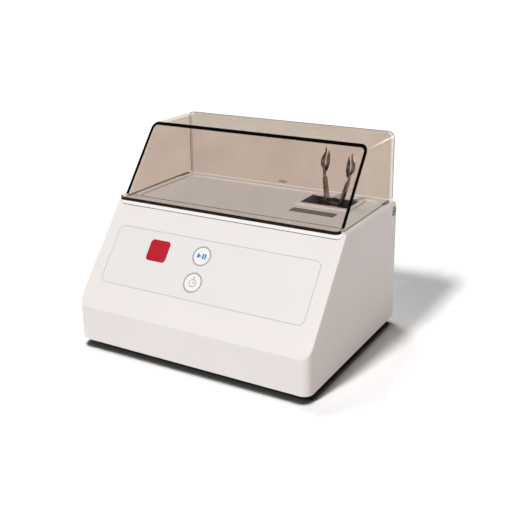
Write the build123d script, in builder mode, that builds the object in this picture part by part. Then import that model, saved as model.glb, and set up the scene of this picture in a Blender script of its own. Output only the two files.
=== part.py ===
from build123d import *
from math import cos, radians, sin, sqrt, tan
import os

# Dental amalgamator: a wedge-fronted bench mixer for capsules.  A motor turns a skewed hub, and the hub
# makes a two-armed fork nod from side to side under a hinged, smoked hood.
# Millimetres.  X to the user's right, Y to the rear, Z up; origin on the table under the middle.

os.makedirs("parts", exist_ok=True)

# ---------------------------------------------------------------- driving dimensions
# Housing
body_width = 240.0
body_depth = 186.0
foot_height = 8.0  # table to the housing's lower edge
kick_height = 32.5  # upright front below the control slope
deck_height = 119.0  # housing's lower edge to the deck
slope_setback = 69.5  # how far the control slope leans back
wall = 3.0
front_corner_r = 8.5
top_edge_r = 3.0
rear_top_r = 6.5
slope_edge_r = 1.2
seam = 0.25  # gap between mouldings that meet

# Deck
deck_wall = 3.0
lip_length = 5.8  # the deck's front lip, measured down the slope
lip_corner_r = 4.8
lip_gap = 0.7  # seam below the lip
crest_r = 1.5
deck_end = 7.0  # deck's rear edge to the back of the housing
tray_depth = 1.4
tray_side_rim = 12.0  # body side to the tray's edge
tray_front_rim = 12.5  # crest to the tray's front edge
tray_rear_rim = 6.0
tray_corner_r = 8.0
shelf_screw_y = 0.0
shelf_screw_inset = 15.0  # body side to the deck screws

# Fork slot in the deck
slot_inset = 54.2  # body side to the slot's middle
slot_setback = 35.2  # back of the housing to the slot's middle
slot_length = 48.9
slot_width = 30.0
slot_corner_r = 6.5
slot_sharp_r = 1.5  # corners at the leaning end
well_depth = 14.0
well_wall = 2.0
well_slant_run = 9.2  # the left wall of the well leans in this far
well_slant_drop = 9.5
well_seat = 1.2  # deck's top to the shoulder that the well is set against
collar_rim = 4.0
strip_length = 44.7
strip_width = 10.4
strip_thickness = 0.4
strip_gap = 15.6  # slot's front edge to the strip's rear edge
strip_shift = 0.5  # slot's middle back to the strip's middle
strip_corner_r = 0.8

# Hood
hood_side_gap = 4.5  # body side to the hood's side
hood_height = 65.5  # deck to the hood's top
hood_wall = 3.0
hood_bend_r = 6.5
hood_rear_gap = 1.5  # back of the housing to the back of the hood
pane_run = 49.0  # how far the front pane leans back
handle_depth = 11.5  # the lip that lifts the hood
handle_corner_r = 5.5
handle_overhang = 7.5  # how far the lip stands out past the crest
rest_gap = 0.2
hinge_rise = 9.5  # hinge axis below the deck
hinge_inset = 8.5  # hinge axis to the back of the housing
ear_r = 7.0
ear_neck = 21.5
ear_slot_gap = 0.3
bush_r = 4.0
pivot_play = 0.05
screw_r = 2.5
screw_play = 0.1
screw_head_r = 3.0
screw_head_h = 1.2
screw_recess_r = 4.75
screw_web = 1.2
screw_reach = 10.0
hinge_boss_r = 5.2
magnet_size = (8.0, 2.5, 2.0)
magnet_rise = 2.8
magnet_x = -1.0
reed_size = (14.0, 3.0, 3.0)

# Controls on the slope, placed by the distance up the slope
overlay_margin = 14.0  # body side to the overlay
overlay_low = 26.6
overlay_high = 83.8
overlay_corner_r = 6.0
overlay_thickness = 0.5
overlay_play = 0.1
window_x = -55.3
window_s = 65.3
window_width = 21.5
window_height = 20.5
window_corner_r = 3.5
window_play = 0.1
key_x = -8.7
start_key_s = 68.3
timer_key_s = 43.1
key_r = 9.2
key_gap = 0.3
key_flange_r = 11.0
key_flange_h = 1.2
key_stem_r = 2.0
key_travel = 0.5
board_gap = 9.0  # inside of the slope to the control board
board_width = 104.0
board_height = 48.0
board_thickness = 1.6
board_x = -33.0
board_s = 55.2
board_edge = 5.0
peg_r = 3.0
pilot_r = 1.2
tact_size = 6.0
tact_height = 3.5
plunger_r = 1.75

# Base
base_thickness = 2.0
base_gap = 0.3
boss_r = 4.5
boss_inset = 10.0
boss_height = 14.0
rib_thickness = 3.0
base_screw_r = 1.5
foot_r = 10.0
foot_tip_r = 9.0
foot_recess_r = 4.0
foot_recess_h = 4.0
foot_side_inset = 25.0
foot_end_inset = 21.0
vent_count = 9
vent_pitch = 7.0
vent_width = 2.6
vent_length = 34.0
vent_inset = 75.0  # body side to the middle of the rear vents
vent_z = 88.0
base_vent_count = 5
base_vent_setback = 78.0  # front of the housing to the base's vents

# Motor, lying along X with its shaft under the fork slot
nutation_drop = 40.5  # deck to the centre that the fork nods about
motor_r = 25.0
motor_wall = 2.0
motor_length = 60.0
bell_length = 8.0
bell_to_fork = 32.8  # front bell to the fork's centre
bearing_r = 8.0
bearing_width = 6.0
shaft_r = 3.0
shaft_play = 0.04
armature_r = 19.0
armature_gap = 0.8
armature_length = 38.0
commutator_r = 8.0
commutator_length = 7.0
commutator_step = 2.0  # armature to the commutator's working length
brush_gap = 0.2
brush_size = 4.5
bracket_thickness = 2.0
bracket_width = 56.0
bracket_neck = 37.0  # width of its two uprights below the motor
bracket_eye_r = 24.0
bracket_reach = 15.0  # bracket's end past the fork's centre
mount_r = 7.0
mount_height = 8.0
mount_inset = 7.0
mount_screw_r = 2.0
motor_screw_r = 1.5
motor_screw_pitch_r = 18.0
motor_screw_head_h = 1.6
bell_bevel = 1.2
bracket_window = (22.0, 14.0)
bracket_window_rise = 22.0

# Skewed hub and fork
skew_deg = 5.6
journal_r = 6.0
ring_inner_r = 8.1
ring_outer_r = 11.9
ring_r = 14.0
ring_width = 8.0
ball_r = 1.85
ball_count = 8
hub_flange = 3.0
collar_r = 9.0
collar_length = 4.5
weight_r = 16.0
weight_thickness = 5.0
washer_thickness = 1.4
washer_play = 0.8  # the washer sits askew on the shaft
nut_width = 10.0
nut_height = 4.0
yoke_ring_r = 18.5
yoke_half = 6.0
yoke_width = 11.0
yoke_shoulder = 22.5
yoke_top = 38.0
yoke_bar = 1.4  # the two cross bars left by the notch in the yoke's top
yoke_notch = 9.0
spring_seat = 22.0  # fork's centre down to the restraint spring
spring_peg_r = 2.6
spring_peg_h = 6.0
tail_width = 8.0
arm_foot = 18.0
arm_drop = 14.5  # capsule's axis down to an arm's top
arm_rake = 22.5  # height of an arm's outward lean
arm_spread = 11.8  # fork's middle to the arm at its top
arm_depth = 2.2
arm_web = 1.0
arm_flange = 1.0
arm_foot_width = 9.6
arm_top_width = 6.0
arm_bend_r = 45.0
rivet_r = 1.5
rivet_head_r = 2.5
rivet_head_h = 1.0
rivet_heights = (22.0, 27.2)
claw_height = 77.0  # fork's centre up to the capsule's axis
claw_axis = 10.5  # fork's middle to the upright axis that a claw is spun about
claw_wall = 1.1
claw_open = 0.7  # axis to the plane that a claw is cut back to
claw_neck = (1.9, -8.6)  # radius, and height from the capsule's axis
claw_belly_r = 6.0
claw_shoulder = (4.7, 6.5)
claw_throat = (2.7, 10.8)
claw_tip = (3.4, 13.8)
claw_side_tip = 11.0  # height of the side prongs at their free edges
prong_turn = 46.0  # from straight outwards to the gap between two prongs
prong_gap = 1.4
prong_gap_low = -4.0
prong_gap_waist = 6.0
prong_gap_top = 3.4
shank_grip = 9.5  # height of a claw's shank inside its arm
shank_width = 3.8
shank_top_width = 5.6
spring_r = 4.0
spring_wire = 1.2
spring_turns = 6
tail_play = 1.4  # clear height between the spring and the tail as it nods

# Power entry, on the back
inlet_inset = 30.0  # body side to the inlet's middle
inlet_z = 38.0
inlet_width = 27.0
inlet_height = 20.0
inlet_depth = 24.0
inlet_flange = 3.0
inlet_flange_h = 1.4
socket_width = 24.0
socket_height = 16.4
socket_corner = 4.6
socket_depth = 16.5
pin_length = 12.0
pin_pitch = 7.0
pin_offset = 2.0  # the middle pin stands above the row's line, the outer ones below it
pin_section = (2.0, 4.0)
tab_section = (0.8, 4.0)
tab_length = 8.0
switch_inset = 60.0  # body side to the rocker switch's middle
switch_z = 38.0
switch_width = 19.2
switch_height = 14.4
switch_depth = 16.0
switch_rim = 1.6
switch_bezel = 1.0
switch_cavity = 11.5
rocker_tilt = 8.0
rocker_half = 5.2
rocker_crown = 4.6
rocker_dip = 3.5
rocker_back = 2.5
rocker_keel = 5.0
rocker_width = 14.0
rocker_gap = 0.35
rocker_edge_r = 0.5
rocker_pivot_r = 1.2
rocker_pivot_inset = 4.0  # back of the housing to the rocker's pivot
switch_wall = 1.1
switch_corner_r = 1.2
pivot_length = 1.4
power_board_size = (76.0, 62.0)
power_board_inset = 54.0  # body side to the board's middle
power_board_setback = 71.0  # front of the housing to the board's middle
standoff_h = 8.0
standoff_r = 3.5
transformer_place = (-18.0, -8.0)  # from the board's middle
transformer_core = (28.0, 24.0, 16.0)
transformer_coil = (20.0, 32.0)
transformer_foot_h = 5.0
capacitor_place = (8.0, -4.0)
capacitor_pitch = 14.0
capacitor_r = 5.5
capacitor_h = 20.0
sink_place = (28.0, 0.0)
sink_length = 44.0
sink_height = 24.0
sink_web = 2.0
fin_count = 8
fin_reach = 7.0
fin_thickness = 1.6
fuse_place = (-18.0, 20.0)
fuse_r = 2.6
fuse_length = 20.0
fuse_rise = 4.0
clip_pitch = 14.0
clip_size = (3.0, 6.0)

# ---------------------------------------------------------------- worked-out places
y_front = -body_depth / 2
y_rear = body_depth / 2
x_side = body_width / 2
slot_x = x_side - slot_inset
slot_y = y_rear - slot_setback
inlet_x = inlet_inset - x_side
switch_x = switch_inset - x_side
power_board_x = power_board_inset - x_side
power_board_y = y_front + power_board_setback
z_bottom = foot_height
z_knee = z_bottom + kick_height
z_deck = z_bottom + deck_height
y_crest = y_front + slope_setback
slope_rise = z_deck - z_knee
slope_length = sqrt(slope_setback**2 + slope_rise**2)
lean_y = slope_setback / slope_length
lean_z = slope_rise / slope_length
slope = Plane(origin=(0, y_front, z_knee), x_dir=(1, 0, 0), z_dir=(0, -lean_z, lean_y))

x_inner = x_side - wall
overlay_width = body_width - 2 * overlay_margin
hood_x = x_side - hood_side_gap
hood_top = z_deck + hood_height
hood_low = z_deck + rest_gap
hood_rear = y_rear - hood_rear_gap
hinge_y = y_rear - hinge_inset
hinge_z = z_deck - hinge_rise
ear_slot_in = hood_x - hood_wall - ear_slot_gap
deck_rear = y_rear - deck_end
pane_front = y_crest - handle_overhang + handle_depth
pane_foot = hood_low + hood_wall

base_top = z_bottom + base_thickness
mount_top = base_top + mount_height
bracket_top = mount_top + bracket_thickness
motor_z = z_deck - nutation_drop
motor_front = slot_x - bell_to_fork
motor_rear = motor_front - motor_length - 2 * bell_length
can_rear = motor_rear + bell_length
can_front = motor_front - bell_length
skew = radians(skew_deg)
fork_centre = (slot_x, slot_y, motor_z)
journal_dir = (cos(skew), 0, -sin(skew))
fork_up = (sin(skew), 0, cos(skew))
# The fork's own planes: X across the arms and Y up the fork, and X to the rear and Y up the fork
fork_side_plane = Plane(origin=fork_centre, x_dir=journal_dir, z_dir=(0, -1, 0))
fork_front_plane = Plane(origin=fork_centre, x_dir=(0, 1, 0), z_dir=journal_dir)
arm_top = claw_height - arm_drop
arm_bend = arm_top - arm_rake
shank_low = arm_top - shank_grip


def save(part, name):
    """Label a finished piece and write its STEP file."""
    part.part.label = name
    export_step(part.part, f"parts/{name}.step")


def slope_y_at(z, inset=0.0):
    """Y of the control slope at height z, the slope moved inwards by inset."""
    return y_front + (z - z_knee) * lean_y / lean_z + inset / lean_z


def side_outline(inset, bottom):
    """Corners of the housing's side view, in Y and Z, all walls moved inwards by inset."""
    front = y_front + inset
    top = z_deck - inset
    knee = z_knee + (inset - inset / lean_z) * lean_z / lean_y
    return [
        (front, bottom),
        (y_rear - inset, bottom),
        (y_rear - inset, top),
        (slope_y_at(top, inset), top),
        (front, knee),
    ]


def disc(plane, radius, start, end, bore=0.0, mode=Mode.ADD):
    """A round bar or ring on plane's Z axis, from start to end."""
    with BuildSketch(plane.offset(start)) as outline:
        Circle(radius)
        if bore:
            Circle(bore, mode=Mode.SUBTRACT)
    extrude(outline.sketch, amount=end - start, mode=mode)


def block(low, high, mode=Mode.ADD):
    """A rectangular block between two opposite corners."""
    with BuildSketch(Plane.XY.offset(low[2])) as outline:
        with Locations(((low[0] + high[0]) / 2, (low[1] + high[1]) / 2)):
            Rectangle(high[0] - low[0], high[1] - low[1])
    extrude(outline.sketch, amount=high[2] - low[2], mode=mode)


both_sides = (-1, 1)
boss_places = [
    (sx * (x_side - boss_inset), sy * (y_rear - boss_inset)) for sx in both_sides for sy in both_sides
]
foot_places = [
    (sx * (x_side - foot_side_inset), sy * (y_rear - foot_end_inset))
    for sx in both_sides
    for sy in both_sides
]
bracket_low_x = motor_rear - bracket_thickness
bracket_high_x = slot_x + bracket_reach
mount_places = [
    (x, slot_y + sy * (bracket_width / 2 - mount_inset))
    for x in (bracket_low_x + mount_inset, bracket_high_x - mount_inset)
    for sy in both_sides
]
board_places = [
    (board_x + sx * (board_width / 2 - board_edge), board_s + sy * (board_height / 2 - board_edge))
    for sx in both_sides
    for sy in both_sides
]
power_board_places = [
    (power_board_x + sx * (power_board_size[0] / 2 - board_edge),
     power_board_y + sy * (power_board_size[1] / 2 - board_edge))
    for sx in both_sides
    for sy in both_sides
]
key_places = {"start_key": (key_x, start_key_s), "timer_key": (key_x, timer_key_s)}
rear_wall = Plane(origin=(0, y_rear, 0), x_dir=(-1, 0, 0), z_dir=(0, 1, 0))  # X to the left, Y up

# ---------------------------------------------------------------- housing
with BuildPart() as housing:
    with BuildSketch(Plane.YZ):
        with BuildLine():
            Polyline(*side_outline(0, z_bottom), close=True)
        make_face()
    extrude(amount=x_side, both=True)
    fillet(housing.edges().filter_by(Axis.X).group_by(Axis.Z)[-1].sort_by(Axis.Y)[-1], rear_top_r)
    top_runs = housing.edges().filter_by(Axis.Y).group_by(Axis.Z)[-1]
    rear_arcs = housing.edges().filter_by(GeomType.CIRCLE)
    rear_uprights = housing.edges().filter_by(Axis.Z).group_by(Axis.Y)[-1]
    fillet(top_runs + rear_arcs + rear_uprights, top_edge_r)
    fillet(housing.edges().filter_by(Axis.Z).group_by(Axis.Y)[0], front_corner_r)
    slope_face = housing.faces().sort_by(lambda face: face.normal_at().dot(slope.z_dir))[-1]
    soft_edges = [edge for edge in slope_face.edges() if edge.center().Z < z_deck - top_edge_r / 2]
    fillet(soft_edges, slope_edge_r)

    # Hollow, open below
    with BuildSketch(Plane.YZ):
        with BuildLine():
            Polyline(*side_outline(wall, z_bottom), close=True)
        make_face()
    extrude(amount=x_inner, both=True, mode=Mode.SUBTRACT)

    # The deck's opening: round at its two corners on the slope, then all between the cheeks to the rear strip
    seam_r = lip_corner_r + lip_gap
    with BuildSketch(slope):
        with Locations((0, slope_length)):
            RectangleRounded(2 * x_inner, 2 * (lip_length + lip_gap), seam_r)
    extrude(amount=-2 * wall, mode=Mode.SUBTRACT)
    open_s = slope_length - lip_length - lip_gap + seam_r
    open_y, open_z = y_front + open_s * lean_y, z_knee + open_s * lean_z
    with BuildSketch(Plane.YZ):
        with BuildLine():
            Polyline(
                (open_y - wall * lean_z, open_z + wall * lean_y),
                (open_y + 2 * wall * lean_z, open_z - 2 * wall * lean_y),
                (deck_rear + seam, open_z - 2 * wall * lean_y),
                (deck_rear + seam, z_deck + wall),
                (y_crest - wall, z_deck + wall),
                close=True,
            )
        make_face()
    extrude(amount=x_inner, both=True, mode=Mode.SUBTRACT)

    # Slots that the hood's ears swing back through
    for side in both_sides:
        middle = side * (ear_slot_in + x_inner) / 2
        with BuildSketch(Plane.XY.offset(hinge_z - ear_r - 1.5)):
            with Locations((middle, y_rear)):
                Rectangle(x_inner - ear_slot_in, 2 * deck_end)
        extrude(amount=deck_height, mode=Mode.SUBTRACT)

    # Hinge screw seats in the cheeks
    for side in both_sides:
        cheek = Plane(origin=(side * x_side, hinge_y, hinge_z), x_dir=(0, 1, 0), z_dir=(side, 0, 0))
        disc(cheek, screw_r + screw_play, -wall, 0, mode=Mode.SUBTRACT)
        disc(cheek, screw_recess_r, screw_web - wall, 0, mode=Mode.SUBTRACT)

    # Shelves that carry the deck's screws, and the ledges that its edges rest on
    shelf_top = z_deck - 2 * deck_wall - wall
    for side in both_sides:
        far = x_inner + wall / 2
        near = x_side - shelf_screw_inset - boss_r
        low_x, high_x = sorted((side * near, side * far))
        block((low_x, shelf_screw_y - boss_r, shelf_top - wall), (high_x, shelf_screw_y + boss_r, shelf_top))
        with Locations((side * (x_side - shelf_screw_inset), shelf_screw_y, shelf_top)):
            Hole(base_screw_r + screw_play, depth=wall)
        low_x, high_x = sorted((side * (x_inner - wall), side * far))
        ledge_top = z_deck - deck_wall
        block((low_x, shelf_screw_y + 4 * boss_r, ledge_top - wall),
              (high_x, deck_rear - ear_neck, ledge_top))

    # Screw bosses for the base plate, each tied to its side wall by a rib
    for x, y in boss_places:
        disc(Plane.XY.move(Location((x, y, 0))), boss_r, base_top, base_top + boss_height)
        low_x, high_x = sorted((x, (1 if x > 0 else -1) * (x_inner + wall / 2)))
        block((low_x, y - rib_thickness / 2, base_top),
              (high_x, y + rib_thickness / 2, base_top + boss_height))
        disc(Plane.XY.move(Location((x, y, 0))), pilot_r, base_top, base_top + boss_height - wall,
             mode=Mode.SUBTRACT)

    # Control slope: recess for the overlay, window, key holes and pegs for the board
    with BuildSketch(slope):
        with Locations((0, (overlay_low + overlay_high) / 2)):
            RectangleRounded(overlay_width + 2 * overlay_play, overlay_high - overlay_low + 2 * overlay_play,
                             overlay_corner_r + overlay_play)
    extrude(amount=-overlay_thickness, mode=Mode.SUBTRACT)
    with BuildSketch(slope):
        with Locations((window_x, window_s)):
            RectangleRounded(window_width + 2 * window_play, window_height + 2 * window_play, window_corner_r)
        with Locations(*key_places.values()):
            Circle(key_r + key_gap)
    extrude(amount=-2 * wall, mode=Mode.SUBTRACT)
    with BuildSketch(slope.offset(-wall)):
        with Locations(*board_places):
            Circle(peg_r)
    extrude(amount=-board_gap)
    with BuildSketch(slope.offset(-wall - board_gap)):
        with Locations(*board_places):
            Circle(pilot_r)
    extrude(amount=board_gap, mode=Mode.SUBTRACT)

    # Back: inlet, switch and cooling slots
    with BuildSketch(rear_wall):
        with Locations((-inlet_x, inlet_z)):
            Rectangle(inlet_width + 2 * seam, inlet_height + 2 * seam)
        with Locations((-switch_x, switch_z)):
            Rectangle(switch_width + 2 * seam, switch_height + 2 * seam)
        with Locations((vent_inset - x_side, vent_z)):
            with GridLocations(vent_pitch, 0, vent_count, 1):
                SlotOverall(vent_length, vent_width, rotation=90)
    extrude(amount=-wall, mode=Mode.SUBTRACT)
save(housing, "housing")

# ---------------------------------------------------------------- base plate and feet
with BuildPart() as base_plate:
    with BuildSketch(Plane.XY.offset(z_bottom)):
        Rectangle(2 * (x_inner - base_gap), 2 * (y_rear - wall - base_gap))
    extrude(amount=base_thickness)
    with BuildSketch(Plane.XY.offset(z_bottom)):
        with Locations(*boss_places):
            Circle(base_screw_r + screw_play)
        with Locations(*foot_places):
            Circle(base_screw_r)
        with Locations(*mount_places):
            Circle(mount_screw_r)
        with Locations((slot_x, y_front + base_vent_setback)):
            with GridLocations(vent_pitch, 0, base_vent_count, 1):
                SlotOverall(vent_length, vent_width, rotation=90)
    extrude(amount=base_thickness, mode=Mode.SUBTRACT)
save(base_plate, "base_plate")

with BuildPart() as rubber_feet:
    for x, y in foot_places:
        with BuildSketch(Plane(origin=(x, y, 0), x_dir=(1, 0, 0), z_dir=(0, -1, 0))):
            with BuildLine():
                Polyline((0, 0), (foot_tip_r, 0), (foot_r, foot_height), (0, foot_height), close=True)
            make_face()
        revolve(axis=Axis((x, y, 0), (0, 0, 1)))
        disc(Plane.XY.move(Location((x, y, 0))), foot_recess_r, 0, foot_recess_h, mode=Mode.SUBTRACT)
        disc(Plane.XY.move(Location((x, y, 0))), base_screw_r, foot_recess_h, foot_height, mode=Mode.SUBTRACT)
save(rubber_feet, "rubber_feet")

# ---------------------------------------------------------------- deck
deck_half = x_inner - seam
tray_y0 = y_crest + tray_front_rim
tray_y1 = deck_rear - tray_rear_rim
slot_left = slot_x - slot_length / 2


def slot_outline(grow=0):
    """Outline of the fork slot, moved outwards by grow, with nearly sharp corners at its leaning end."""
    with BuildSketch() as outline:
        with Locations((slot_x, slot_y)):
            Rectangle(slot_length + 2 * grow, slot_width + 2 * grow)
        ends = outline.vertices().group_by(Axis.X)
        fillet(ends[0], slot_sharp_r + grow)
        fillet(ends[-1], slot_corner_r + grow)
    return outline.sketch


with BuildPart() as deck:
    deck_lip_s = slope_length - lip_length
    lip_y, lip_z = y_front + deck_lip_s * lean_y, z_knee + deck_lip_s * lean_z
    with BuildSketch(Plane.YZ):
        with BuildLine():
            Polyline(
                (lip_y, lip_z),
                (y_crest, z_deck),
                (deck_rear, z_deck),
                (deck_rear, z_deck - deck_wall),
                (slope_y_at(z_deck - deck_wall, deck_wall), z_deck - deck_wall),
                (lip_y + deck_wall * lean_z, lip_z - deck_wall * lean_y),
                close=True,
            )
        make_face()
    extrude(amount=deck_half, both=True)
    fillet(deck.edges().filter_by(Axis.X).group_by(Axis.Z)[-1].sort_by(Axis.Y)[0], crest_r)
    lip_corners = deck.edges().filter_by(lambda e: abs(e.length - deck_wall) < 0.01).group_by(Axis.Z)[0]
    fillet(lip_corners, lip_corner_r)

    # Tray, with the collar of the fork slot left standing
    with BuildSketch(Plane.XY.offset(z_deck)):
        with Locations((0, (tray_y0 + tray_y1) / 2)):
            RectangleRounded(2 * (x_side - tray_side_rim), tray_y1 - tray_y0, tray_corner_r)
        add(slot_outline(collar_rim), mode=Mode.SUBTRACT)
    extrude(amount=-tray_depth, mode=Mode.SUBTRACT)

    # Well below the slot, its left wall leaning in
    with BuildSketch(Plane.XY.offset(z_deck - tray_depth)):
        add(slot_outline(well_wall))
    extrude(amount=tray_depth - well_depth)
    with BuildSketch(Plane.XY.offset(z_deck)):
        add(slot_outline())
    extrude(amount=-well_depth, mode=Mode.SUBTRACT)
    with BuildSketch(Plane.XZ.offset(-slot_y)):
        with BuildLine():
            Polyline(
                (slot_left - well_wall, z_deck - deck_wall),
                (slot_left, z_deck - crest_r / 5),
                (slot_left + well_slant_run, z_deck - well_slant_drop),
                (slot_left + well_slant_run, z_deck - well_depth),
                (slot_left - well_wall, z_deck - well_depth),
                close=True,
            )
        make_face()
    extrude(amount=slot_width / 2, both=True)

    # Room for the ears, and the bosses that the hinge screws bite into
    for side in both_sides:
        low_x, high_x = sorted((side * ear_slot_in, side * x_side))
        block((low_x, hood_rear - ear_neck - ear_slot_gap, z_deck - 2 * deck_wall),
              (high_x, y_rear, z_deck + wall), mode=Mode.SUBTRACT)
        face = Plane(origin=(side * ear_slot_in, hinge_y, hinge_z), x_dir=(0, 1, 0), z_dir=(side, 0, 0))
        disc(face, hinge_boss_r, -screw_reach - wall, 0)
        low_x, high_x = sorted((side * ear_slot_in, side * (ear_slot_in - screw_reach - wall)))
        block((low_x, hinge_y - hinge_boss_r, hinge_z), (high_x, deck_rear, z_deck - deck_wall / 2))
        disc(face, screw_r, -screw_reach, 0, mode=Mode.SUBTRACT)

    # Bosses for the screws that come up through the housing's shelves
    for side in both_sides:
        here = Plane.XY.move(Location((side * (x_side - shelf_screw_inset), shelf_screw_y, 0)))
        disc(here, boss_r, shelf_top, z_deck - deck_wall / 2 - tray_depth)
        disc(here, pilot_r, shelf_top, shelf_top + 2 * wall, mode=Mode.SUBTRACT)

# The well is a dark moulding let into the deck from below, up to a shoulder under the collar
with BuildPart() as well_space:
    for grow, top in ((0, z_deck), (well_wall, z_deck - well_seat)):
        with BuildSketch(Plane.XY.offset(z_deck - well_depth)):
            add(slot_outline(grow))
        extrude(amount=top - z_deck + well_depth)
with BuildPart() as fork_well:
    add(deck.part)
    add(well_space.part, mode=Mode.INTERSECT)
save(fork_well, "fork_well")
with deck:
    add(well_space.part, mode=Mode.SUBTRACT)
save(deck, "deck")

with BuildPart() as case_screws:
    for x, y in boss_places:
        here = Plane.XY.move(Location((x, y, 0)))
        disc(here, screw_head_r, z_bottom - 1.5 * screw_head_h, z_bottom)
        disc(here, pilot_r, z_bottom, base_top + boss_height / 2)
    for side in both_sides:
        here = Plane.XY.move(Location((side * (x_side - shelf_screw_inset), shelf_screw_y, 0)))
        disc(here, screw_head_r, shelf_top - wall - 1.5 * screw_head_h, shelf_top - wall)
        disc(here, pilot_r, shelf_top - wall, shelf_top + wall)
    for x, y in foot_places:
        here = Plane.XY.move(Location((x, y, 0)))
        disc(here, screw_head_r, foot_recess_h - 1.5 * screw_head_h, foot_recess_h)
        disc(here, base_screw_r, foot_recess_h, base_top + 2 * base_thickness)
save(case_screws, "case_screws")

with BuildPart() as label_strip:
    strip_y = slot_y - slot_width / 2 - strip_gap - strip_width / 2
    with BuildSketch(Plane.XY.offset(z_deck - tray_depth)):
        with Locations((slot_x - strip_shift, strip_y)):
            RectangleRounded(strip_length, strip_width, strip_corner_r)
    extrude(amount=strip_thickness)
save(label_strip, "label_strip")

# ---------------------------------------------------------------- hood
pane_length = sqrt(pane_run**2 + (hood_top - pane_foot) ** 2)
pane_upright = (hood_top - pane_foot) / pane_length  # cosine of the pane's lean from upright

with BuildPart() as hood_shell:
    # One sheet bent into sides and top, its front edges cut back along the pane
    with BuildSketch(Plane.XZ.offset(-hood_rear)):
        with Locations((0, (hood_low + hood_top) / 2)):
            Rectangle(2 * hood_x, hood_top - hood_low)
    extrude(amount=hood_rear - pane_front)
    fillet(hood_shell.edges().filter_by(Axis.Y).group_by(Axis.Z)[-1], hood_bend_r)
    with BuildSketch(Plane.XZ.offset(-hood_rear)):
        with Locations((0, (hood_low + hood_top) / 2 - hood_wall)):
            Rectangle(2 * (hood_x - hood_wall), hood_top - hood_low)
    inside = extrude(amount=hood_rear - pane_front, mode=Mode.PRIVATE)
    inside = inside.fillet(hood_bend_r - hood_wall, inside.edges().filter_by(Axis.Y).group_by(Axis.Z)[-1])
    add(inside, mode=Mode.SUBTRACT)
    with BuildSketch(Plane.YZ):
        with BuildLine():
            Polyline(
                (pane_front, hood_low),
                (pane_front, pane_foot),
                (pane_front + pane_run, hood_top),
                (hood_rear, hood_top),
                (hood_rear, hood_low),
                close=True,
            )
        make_face()
    extrude(amount=hood_x, both=True, mode=Mode.INTERSECT)

    # Ears that hang down to the hinge
    for side in both_sides:
        with BuildSketch(Plane.YZ.offset(side * (hood_x - hood_wall / 2))):
            with BuildLine():
                CenterArc((hinge_y, hinge_z), ear_r, 0, 360)
                Line((hood_rear - ear_neck, hood_low), (hood_rear, hood_low))
            make_hull()
            with Locations((hinge_y, hinge_z)):
                Circle(bush_r + pivot_play, mode=Mode.SUBTRACT)
        extrude(amount=hood_wall / 2, both=True)
save(hood_shell, "hood_shell")

with BuildPart() as hood_pane:
    # Front pane, set between the sheet's sides, with the lifting lip across its foot
    with BuildSketch(Plane.YZ):
        with BuildLine():
            Polyline(
                (pane_front, pane_foot),
                (pane_front + pane_run, hood_top),
                (pane_front + pane_run + hood_wall / pane_upright, hood_top),
                (pane_front + hood_wall / pane_upright, pane_foot),
                close=True,
            )
        make_face()
    extrude(amount=hood_x, both=True)
    add(inside, mode=Mode.INTERSECT)
    block((-hood_x, pane_front - handle_depth, hood_low), (hood_x, pane_front, pane_foot))
    fillet(hood_pane.edges().filter_by(Axis.Z).group_by(Axis.Y)[0], handle_corner_r)
    block((-hood_x + hood_wall, pane_front, hood_low),
          (hood_x - hood_wall, pane_front + hood_wall / pane_upright, pane_foot))
save(hood_pane, "hood_pane")

with BuildPart() as hood_rear_pane:
    block((-hood_x, hood_rear - hood_wall, hood_low + rest_gap), (hood_x, hood_rear, hood_top))
    add(inside, mode=Mode.INTERSECT)
save(hood_rear_pane, "hood_rear_pane")

with BuildPart() as interlock_magnet:
    length, thickness, height = magnet_size
    back = hood_rear - hood_wall
    block((magnet_x - length / 2, back - thickness, z_deck + magnet_rise),
          (magnet_x + length / 2, back, z_deck + magnet_rise + height))
    fillet(interlock_magnet.edges().filter_by(Axis.Y), height / 4)
save(interlock_magnet, "interlock_magnet")

with BuildPart() as interlock_switch:
    length, thickness, height = reed_size
    block((magnet_x - length / 2, deck_rear - 1 - thickness, z_deck - deck_wall - height),
          (magnet_x + length / 2, deck_rear - 1, z_deck - deck_wall))
save(interlock_switch, "interlock_switch")

with BuildPart() as hinge_bushes:
    for side in both_sides:
        face = Plane(origin=(side * ear_slot_in, hinge_y, hinge_z), x_dir=(0, 1, 0), z_dir=(side, 0, 0))
        disc(face, bush_r, 0, x_inner - ear_slot_in, bore=screw_r)
save(hinge_bushes, "hinge_bushes")

with BuildPart() as hinge_screws:
    for side in both_sides:
        seat_x = side * (x_inner + screw_web)
        seat = Plane(origin=(seat_x, hinge_y, hinge_z), x_dir=(0, 1, 0), z_dir=(side, 0, 0))
        disc(seat, screw_r, ear_slot_in - screw_reach - x_inner - screw_web, 0)
        disc(seat, screw_head_r, 0, screw_head_h)
        with BuildSketch(seat.offset(screw_head_h)):
            RegularPolygon(1.5, 6)
        extrude(amount=-0.8 * screw_head_h, mode=Mode.SUBTRACT)
save(hinge_screws, "hinge_screws")

with BuildPart() as hinge_cups:
    for side in both_sides:
        seat_x = side * (x_inner + screw_web)
        seat = Plane(origin=(seat_x, hinge_y, hinge_z), x_dir=(0, 1, 0), z_dir=(side, 0, 0))
        disc(seat, screw_recess_r - screw_play, 0, wall - screw_web - screw_play,
             bore=screw_head_r + screw_play)
save(hinge_cups, "hinge_cups")

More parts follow.
